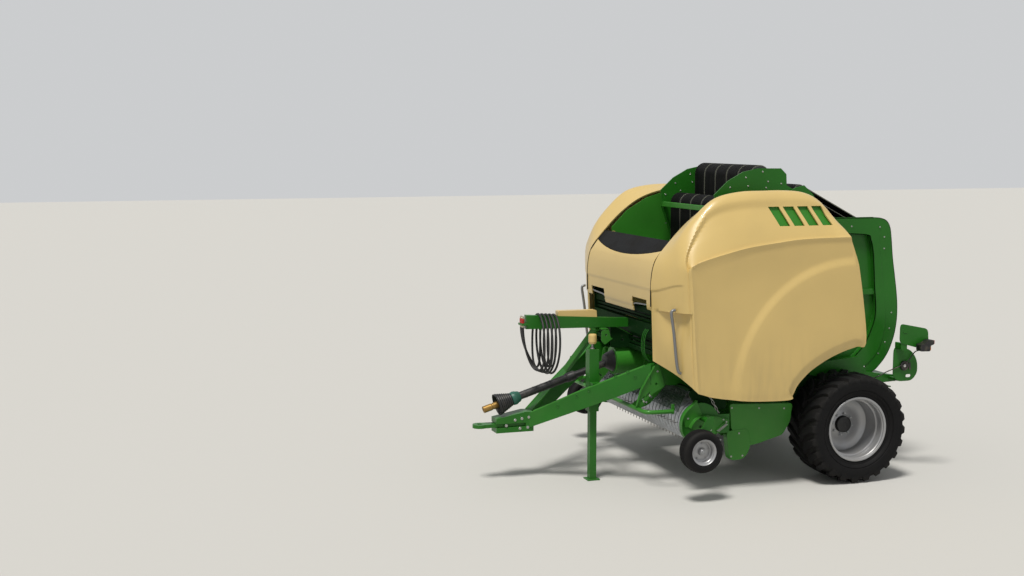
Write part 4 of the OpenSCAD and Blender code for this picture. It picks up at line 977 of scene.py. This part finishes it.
def lens(name, base, prism_glint):
    """Ribbed lamp plastic: coat over colour, with fine prisms whose bands are painted part-way towards a
    lighter colour, a painted glint of light in them.
    """
    made = Finish(name)
    prisms = made.node("ShaderNodeTexWave", {"wave_type": "BANDS", "bands_direction": "Z"},
                       {"Vector": made.place(), "Scale": 90.0})
    return made.shade(colour=made.mix(prisms * 0.5, base, prism_glint), roughness=0.16, coat=0.8,
                      normal=made.bump(prisms, 0.0006))


red_lens = lens("red_lens", tone(150, 14, 14), tone(214, 52, 40))
amber_lens = lens("amber_lens", tone(206, 104, 16), tone(240, 160, 50))
clear_lens = lens("clear_lens", tone(204, 204, 200), tone(240, 240, 236))
form = bmesh.new()
plate(form, rounded([(-1873, 1495), (-2193, 1430), (-2204, 1276), (-2147, 1225),
                     (-1870, 1303)], 44), 1014, 1022)
plate(form, rounded([(-1875, 1265), (-2077, 1210), (-2151, 1103), (-2156, 975), (-2092, 899), (-1930, 899),
                     (-1872, 955)], 74), 910, 918, [slot_hole(-2050, 950, 30, 30)])
plate(form, rounded([(-1960, 1215), (-1890, 1235), (-1890, 1300), (-1960, 1290)], 10), 912, 1016)
plate(form, [(-1990, 900), (-1920, 905), (-1920, 930), (-1990, 925)], 765, 912)
plate(form, rounded([(-1900, 1440), (-1950, 1430), (-1950, 1395), (-1900, 1405)], 10), 1020, 1026)
mirrored(form)
piece("lamp_panels", form, green_paint, "chassis", "light_panels", edge=0.0015, slot="green_paint")
form = bmesh.new()
plate(form, rounded([(-2052, 1222), (-2164, 1218), (-2168, 1276), (-2206, 1284), (-2208, 1328), (-2150, 1332),
                     (-2100, 1296), (-2052, 1290)], 14), 1034, 1110)
plate(form, rounded([(-2060, 1232), (-2130, 1230), (-2130, 1276), (-2060, 1276)], 8), 1022.3, 1036)
lathe(form, [(0, 918.4), (44, 918.4), (48, 922), (48, 934), (42, 939), (26, 939), (24, 935), (0, 935)],
      (-1995, 0, 1056), (0, 1, 0), 64)
plate(form, slot_hole(-2062, 1050, 62, 22, 86), 918.4, 924)
mirrored(form)
piece("lamp_housings", form, housing_black, "chassis", "rear_lamps", edge=0.004, slot="dark_trim")
conduit = [(-1640, 778, 925), (-1662, 850, 932), (-1690, 914, 950), (-1790, 922, 1006), (-1900, 926, 1036),
           (-1990, 944, 1076), (-2052, 938, 1118), (-2090, 930, 1170), (-2100, 960, 1206),
           (-2100, 1012, 1216), (-2100, 1050, 1226)]
for side, hand in sides:
    pipe(f"lamp_conduit_{side}", [(x / 1000, hand * y / 1000, z / 1000) for x, y, z in conduit], 0.011,
         housing_black, "chassis")
for name, finish, low, high in (("tail_lenses", red_lens, (-2215, 1038, 1288), (-2206, 1106, 1326)),
                                ("turn_lenses", amber_lens, (-2176, 1038, 1226), (-2163, 1106, 1272))):
    form = bmesh.new()
    block(form, low, high)
    mirrored(form)
    piece(name, form, finish, "chassis", edge=0.003, slot="dark_trim")
form = bmesh.new()
lathe(form, [(0, 934), (15, 934), (15, 938), (11, 941), (0, 942)], (-1995, 0, 1056), (0, 1, 0), 40)
mirrored(form)
piece("reflector_centres", form, clear_lens, "chassis", slot="dark_trim")

# Bolts: zinc-plated hexagon heads on washers, in rows where the sheets are screwed together.
def bolt(form, at, along, size):
    """A hexagon head of a given radius on its washer, standing on a surface."""
    lathe(form, [(0, -1), (size * 1.35, -1), (size * 1.35, 1.4), (size * 1.2, 2), (0, 2)], at, along, 18)
    lathe(form, [(0, 1.5), (size, 1.5), (size, size * 0.62), (size * 0.86, size * 0.75), (0, size * 0.75)],
          at, along, 6)


def bolts(name, body, size, *rows):
    """Bolts in rows, each row given as its y, its direction and the x and z of each bolt."""
    form = bmesh.new()
    for y, along, places in rows:
        for x, z in places:
            bolt(form, (x, y, z), along, size)
    mirrored(form)
    piece(name, form, bolt_zinc, body, edge=0.0006, slot="bare_steel")


bolt_zinc = metal("bolt_zinc", tone(176, 178, 172), 0.3, 0.85, 0.12)
left, right = (0, 1, 0), (0, -1, 0)
wall_face, wall_inside, post_face = 617, 605, 657
gate_face, rim_face = 691, 685
top_bolts = [(-80, 2720), (-190, 2838), (-360, 2930), (-540, 2985), (-600, 2890), (-745, 2868), (-580, 2830),
             (-385, 2848), (-250, 2760), (-330, 2690)]
bolts("wall_bolts", "chassis", 6.5, (wall_face, left, top_bolts), (wall_inside, right, top_bolts),
      (post_face, left, [(-110, 2420), (-165, 2240), (-115, 2060), (-95, 2550)]))
bolts("tailgate_bolts", "tailgate", 6, (gate_face, left, [(-1824, 2427), (-1500, 2440)]),
      (rim_face, left, [(-1882, 2326), (-1884, 2211), (-1990, 1560), (-1970, 1400), (-1922, 1262),
                        (-1850, 1150)]))
bolts("drawbar_bolts", "chassis", 11,
      (80, left, [(1668, 610), (1740, 600), (1810, 590), (1680, 510), (1760, 505), (1900, 540)]))
bolts("guard_bolts", "chassis", 8,
      (792, left, [(-860, 2600), (-640, 2700), (-120, 2690), (100, 2610), (260, 2500), (380, 2380)]))

# Drawbar details: the members are folded from sheet, with rounded edges and with round holes
# that have rolled rims, made in one press stroke.
member_start, member_end = Vector((1673, 20, 0)), Vector((725, 719, 0))
member_way = (member_end - member_start).normalized()
member_out = Vector((member_way.y, -member_way.x, 0))
form = bmesh.new()
for run, z in ((330, 735), (520, 845), (640, 905), (900, 1060), (1020, 1105), (1090, 1060)):
    foot = member_start + member_way * run + member_out * 44 + Vector((0, 0, z))
    lathe(form, [(9, 0), (9, 4), (11, 5.5), (14, 5.5), (16, 4), (16, 0)], foot, member_out, 28, True)
mirrored(form)
piece("drawbar_eyelets", form, green_paint, "chassis", sharp=40, slot="green_paint")

# Round beads along both top edges of each member, in the lighter green: a painted highlight.
rise = [(60, 659), (300, 775), (540, 890), (575, 906), (900, 1049), (1165, 1165)]
for side, hand in sides:
    for place, across in (("outer", 39), ("inner", -39)):
        highlight_bead = [member_start + member_way * run + member_out * across + Vector((0, 0, z - 2))
                for run, z in rise]
        pipe(f"drawbar_edge_{side}_{place}", [(x / 1000, hand * y / 1000, z / 1000) for x, y, z in highlight_bead],
             0.014, light_green_paint, "chassis")

# Crop guard: one bent tube across the front of the pickup, held by two slotted plates that
# swing on pins at the frame, with a short upright at each end.
half_way = [(830, 0), (830, 300), (830, 620), (830, 800), (829, 880), (822, 932), (795, 962), (750, 972),
            (700, 976), (640, 980), (580, 984), (556, 985)]
route = [(x, -y, 768) for x, y in reversed(half_way[1:])] + [(x, y, 768) for x, y in half_way]
tube("crop_guard_tube", route, 40, light_green_paint, "crop_guard", slot="light_green_paint")
form = bmesh.new()
arm = rounded([(600, 1146), (540, 1150), (463, 966), (640, 780), (694, 757), (818, 762), (824, 790),
               (720, 860), (622, 1000)], 26)
plate(form, arm, 626, 638, [slot_hole(560, 1120, 0, 24.2), slot_hole(690, 812, 60, 16, 38),
                            slot_hole(640, 862, 60, 16, 45), slot_hole(560, 985, 0, 34)])
lathe(form, [(12.1, 620), (30, 620), (34, 624), (34, 640), (30, 646), (12.1, 646)], (560, 0, 1120), left,
      40, True)
plate(form, rounded([(542, 742), (574, 742), (574, 838), (542, 838)], 12), 976, 986)
plate(form, rounded([(618, 1192), (668, 1180), (806, 950), (850, 800), (846, 752), (808, 752), (748, 838),
                     (665, 912), (548, 972)], 24), 780, 788,
      [slot_hole(776, 862, 54, 14, 122), slot_hole(722, 905, 54, 14, 132), slot_hole(640, 1000, 0, 22)])
front_lip = [(668, 1176), (806, 948), (850, 800)]
plate(form, front_lip + [(x - 7, z - 3) for x, z in reversed(front_lip)], 786, 806)
mirrored(form)
piece("crop_guard_plates", form, light_green_paint, "crop_guard", "crop_guard", edge=0.0015,
      slot="light_green_paint")
bolts("crop_guard_bolts", "crop_guard", 8, (788, left, [(768, 838), (706, 890), (628, 1120)]),
      (638, left, [(700, 790), (590, 930), (520, 1000)]))

# Pickup ends: pressed end plates with a rolled flange, the gauge wheels' sector-shaped arms,
# a coil spring at each side, and a lifting chain that hangs behind each plate.
form = bmesh.new()
ring, inner = ([(386, top)] + [(340 + radius * math.sin(a), 660 + radius * math.cos(a))
                               for a in map(math.radians, range(34, 220, 6))]
               for top, radius in ((890, 204), (880, 197)))
plate(form, ring + inner[::-1], 1106, 1150)
plate(form, rounded([(386, 886), (456, 818), (520, 730), (500, 640), (340, 640), (326, 750)], 8), 1125, 1131)
crest = [(52, 682), (170, 722)] + [(300 + 168 * math.sin(a), 575 + 168 * math.cos(a))
                                   for a in map(math.radians, range(-8, 76, 6))]
plate(form, [(300, 560), (180, 562), (60, 640), *crest], 1132, 1142, [slot_hole(350, 640, 0, 30)])
plate(form, crest + [(x + 5, z + 5) for x, z in reversed(crest)], 1130, 1178)
for shift in (0, 26):
    plate(form, [(70 + shift, 640 + shift), (188, 566 + shift), (190, 572 + shift),
                 (73 + shift, 646 + shift)], 1142, 1160)
mirrored(form)
piece("pickup_pressings", form, light_green_paint, "pickup", edge=0.0012, slot="green_paint")
bolts("pickup_bolts", "pickup", 7, (1125, left, [(340, 540)]), (1131, left, [(470, 720)]),
      (1142, left, [(80, 668), (110, 692), (240, 600)]))
for side, hand in sides:
    coils = []
    for k in range(121):
        turned = k * math.tau / 10
        coils.append((84 + 92 * k / 120 + 13 * math.cos(turned), hand * (1160 + 13 * math.sin(turned)),
                      650 - 62 * k / 120 + 13 * 0.5 * math.cos(turned)))
    tube(f"pickup_spring_{side}", coils, 4.5, bolt_zinc, "pickup", slot="bare_steel")

# Feed table comb: a bar under the rails carries sprung wire tines, 25 mm apart, that lean down
# over the pickup's crest.
form = bmesh.new()
block(form, (375, -1010, 955), (415, 1010, 984))
tine = [(396, 962), (430, 940), (462, 898), (488, 845), (505, 795), (512, 762)]
tine_count, tine_pitch, wire_radius = 81, 25, 3.5
six_round = [math.tau * k / 6 for k in range(6)]
for number in range(tine_count):
    y = tine_pitch * (number - (tine_count - 1) / 2)
    loft(form, [[spot + out * wire_radius * math.cos(a) + Vector((0, y + wire_radius * math.sin(a), 0))
                 for a in six_round] for spot, out in outward(tine)], capped=True)
# The tines get the darker green as painted shade, for the shadow under the feed table.
piece("comb_tines", form, shaded_green_paint, "chassis", "guard_comb", sharp=50, slot="green_paint")

# A square bar crosses the chamber between the front belts and is welded to both walls. Flat
# sheets close the gap between pickup and feed table at both ends and lift with the pickup.
form = bmesh.new()
wall_gap = 0.3
block(form, (-80, wall_gap - wall_inside, 2600), (-40, wall_inside - wall_gap, 2650))
piece("belt_bar", form, light_green_paint, "chassis", edge=0.003, slot="green_paint")
form = bmesh.new()
plate(form, rounded([(30, 770), (300, 770), (384, 870), (424, 930), (396, 968), (30, 968)], 20), 1024, 1030)
mirrored(form)
# These sheets get the darker green as painted shade.
piece("pickup_side_sheets", form, shaded_green_paint, "pickup", edge=0.001, slot="green_paint")

# Side boxes: a folded sheet cover over the side drive on two posts, with a lower flap that
# laps over it; its corners are rounded and its edges are flanged inwards.
form = bmesh.new()
cover = rounded([(-16, 811), (-690, 776), (-668, 600), (-588, 474), (-318, 404), (-230, 392), (-40, 560)], 34)
plate(form, cover, 918, 1018)
plate(form, rounded([(14, 548), (-216, 560), (-250, 402), (-206, 300), (-150, 263),
                     (-24, 262)], 46), 940, 1020)
plate(form, rounded([(-30, 806), (-640, 774), (-640, 764), (-30, 792)], 3), 1017, 1020)
for x in (-560, -120):
    block(form, (x, 720, 750), (x + 60, 930, 894 + (x + 1000) * 0.05))
lathe(form, [(0, 850), (20, 850), (20, 930), (0, 930)], (-200, 0, 560), left, 32)
mirrored(form)
piece("side_covers", form, light_green_paint, "chassis", "side_boxes", edge=0.003, slot="light_green_paint")

# Wheel-arch liners: flat sheets with rounded corners between each side rail and its tyre. They
# are screwed on behind the side boxes, whose own covers have two rows of bolts.
form = bmesh.new()
plate(form, rounded([(-640, 690), (-1190, 690), (-1190, 900), (-1120, 960), (-980, 1006), (-820, 1006),
                     (-700, 950), (-640, 860)], 40), 783, 788)
mirrored(form)
# The liners get the darker green as painted shade.
piece("wheel_arch_liners", form, shaded_green_paint, "chassis", edge=0.001, slot="green_paint")
bolts("side_cover_bolts", "chassis", 7, (1018, left, [(-40, 770), (-330, 750), (-600, 730)]),
      (1020, left, [(-120, 520), (-40, 300), (-160, 300)]))

# Lifting chains: welded steel links, zinc-plated, that run slanting down beside each pickup
# end and lift with it.
def chain(name, start, end, count, body):
    form = bmesh.new()
    way = (end - start).normalized()
    link = (end - start).length / count
    reach, radius, wire = 0.9 * (link / 2 - 4), 10, 3.2
    for number in range(count):
        middle = start + way * link * (number + 0.5)
        turned = Matrix.Rotation(math.radians(35 + 90 * (number % 2)), 3, way)
        side_way = turned @ way.orthogonal().normalized()
        face = way.cross(side_way)
        bends = [(reach, a) for a in range(-90, 91, 30)] + [(-reach, a) for a in range(90, 271, 30)]
        spots = [middle + way * (shift + radius * math.cos(math.radians(a)))
                 + side_way * radius * math.sin(math.radians(a)) for shift, a in bends]
        rings = []
        for before, spot, after in zip(spots[-1:] + spots, spots, spots[1:] + spots[:1]):
            out = (after - before).normalized().cross(face)
            rings.append([spot + wire * (out * math.cos(a) + face * math.sin(a)) for a in six_round])
        loft(form, rings, closed=True)
    piece(name, form, bolt_zinc, body, sharp=60, slot="bare_steel")


for side, hand in sides:
    chain(f"lift_chain_{side}", Vector((235, hand * 1075, 925)), Vector((112, hand * 1075, 712)), 7, "pickup")

# Hose arm: a square strut to the far drawbar member, a gusset plate down to the gearbox guard
# with a rolled top edge, and a folded bracket beside the jack.
def bar(form, start, end, width, height):
    way = (Vector(end) - Vector(start))
    lean = way.to_track_quat("Z", "Y").to_matrix().to_4x4()
    spot = Matrix.Translation((Vector(start) + Vector(end)) / 2) @ lean
    bmesh.ops.create_cube(form, size=1, matrix=spot @ Matrix.Diagonal([width, height, way.length, 1]))


form = bmesh.new()
bar(form, (971, 96, 1464), (1140, -300, 990), 54, 54)
plate(form, rounded([(963, 1438), (889, 1466), (866, 1371), (841, 1363), (928, 1304),
                     (966, 1345)], 12), 196, 204, [slot_hole(915, 1400, 0, 20)])
block(form, (892, 128, 1452), (958, 204, 1462))
plate(form, rounded([(985, 1462), (1060, 1478), (1060, 1462), (1010, 1440)], 6), 74, 126)
piece("arm_brackets", form, light_green_paint, "chassis", edge=0.003, slot="green_paint")
form = bmesh.new()
plate(form, rounded([(830, 1466), (766, 1466), (580, 1362), (575, 1276), (640, 1254), (765, 1252),
                     (822, 1262)], 8), 96, 104, [slot_hole(700, 1330, 0, 26)])
# The gusset gets the darker green as painted shade.
piece("arm_gusset", form, shaded_green_paint, "chassis", edge=0.001, slot="green_paint")
tube("arm_gusset_edge", [(800, 100, 1472), (766, 100, 1468), (672, 100, 1416), (584, 100, 1366)], 12,
     light_green_paint, "chassis", slot="green_paint")

# Feed pipes: three painted steel pipes side by side, bent in one curve, that run down behind
# the front hood's left notch to the frame.
for number in range(3):
    y = 655 - 34 * number
    pipe_line = [(664, y, 1500), (690, y - 4, 1470), (704, y - 8, 1410), (706, y - 8, 1320),
                 (700, y - 4, 1260), (672, y, 1215), (640, y, 1190)]
    tube(f"feed_pipe_{number + 1}", pipe_line, 9, green_paint, "chassis", slot="green_paint")

# Front hood's edges: a thin bent tube is clipped behind each lower notch, and rubber seals,
# extruded strips on both sides of the hood, close its joints to the side hoods.
notch_tube = [(712, 1770), (704, 1752), (684, 1741), (560, 1736), (440, 1732), (392, 1726), (366, 1718)]
for side, hand in sides:
    tube(f"notch_tube_{side}", [(692, hand * y, z) for y, z in notch_tube], 17, grey_tube, "front_hood",
         slot="grey_tube")
    seal = [(x - 1, hand * 798.5, z) for x, z in insert_curve[:2] + front_curve[:-2]]
    tube(f"hood_seal_{side}", seal, 12, dark_trim, "front_hood", slot="dark_trim")

# Tailgate sides: each a plate with a deep pressed channel round its rear, closed by a rim
# sheet that laps under it along a groove, with one stiffening rib across.
inner_edge = [(-1560, 1130), (-1672, 1240), (-1755, 1400), (-1800, 1575), (-1778, 1860), (-1755, 2160),
              (-1722, 2300), (-1664, 2352), (-1260, 2372)]
groove_edge = [(-1700, 1040), (-1768, 1096), (-1846, 1198), (-1895, 1317), (-1918, 1453), (-1916, 1620),
               (-1882, 1847), (-1852, 2074), (-1824, 2299), (-1806, 2440), (-1776, 2508)]
rim_edge = [(-1696, 948), (-1799, 975), (-1872, 1037), (-1935, 1112), (-1984, 1198), (-2031, 1330),
            (-2056, 1478), (-2058, 1620), (-2046, 1752), (-2021, 1918), (-1989, 2115), (-1969, 2295),
            (-1950, 2416), (-1908, 2488), (-1836, 2518), (-1766, 2524)]
inner_edge, groove_edge, rim_edge = ([tuple(spline(edge, k / 5)) for k in range(5 * (len(edge) - 1) + 1)]
                                     for edge in (inner_edge, groove_edge, rim_edge))
pin_x, pin_z = -860, 2745


def band_of(edge, width):
    """Closed outline of a strip along an edge, to its front side."""
    shifted = []
    for i, spot in enumerate(edge):
        run = Vector(edge[min(i + 1, len(edge) - 1)]) - Vector(edge[max(i - 1, 0)])
        shifted.append((spot[0] + width * run.y / run.length, spot[1] - width * run.x / run.length))
    return edge + shifted[::-1]


form = bmesh.new()
pin_end = [(pin_x + 60 * math.cos(a), pin_z + 60 * math.sin(a))
           for a in map(math.radians, range(-60, 71, 10))]
plate(form, [(-900, 2830), (-990, 2850), (-1090, 2760), (-1227, 2530), (-1740, 2500)] + [
    p for p in groove_edge[::-1] if p[1] < 2490] + [(-900, 1000), (-895, 2600)] + pin_end, 623, 635,
    [slot_hole(pin_x, pin_z, 0, 44.2)])
plate(form, inner_edge + [(-1227, 2530), (-1740, 2530)] + groove_edge[::-1] + [(-1640, 1010)], 683, gate_face)
plate(form, band_of(inner_edge, -8), 634, gate_face)
plate(form, rim_edge + groove_edge[::-1], 677, rim_face)
plate(form, band_of(rim_edge, 6), 634, rim_face)
plate(form, [(-1227, 2522), (-1227, 2530), (-1776, 2524), (-1776, 2516)], 634, gate_face)
plate(form, rounded([(-920, 1812), (-1790, 1806), (-1790, 1752), (-920, 1758)], 8), 634, 672)
lathe(form, [(0, 634), (28, 634), (28, 711), (0, 711)], (-1020, 0, 2400), left, 32)
mirrored(form)
piece("tailgate_panels", form, green_paint, "tailgate", "tailgate_sides", sharp=32)
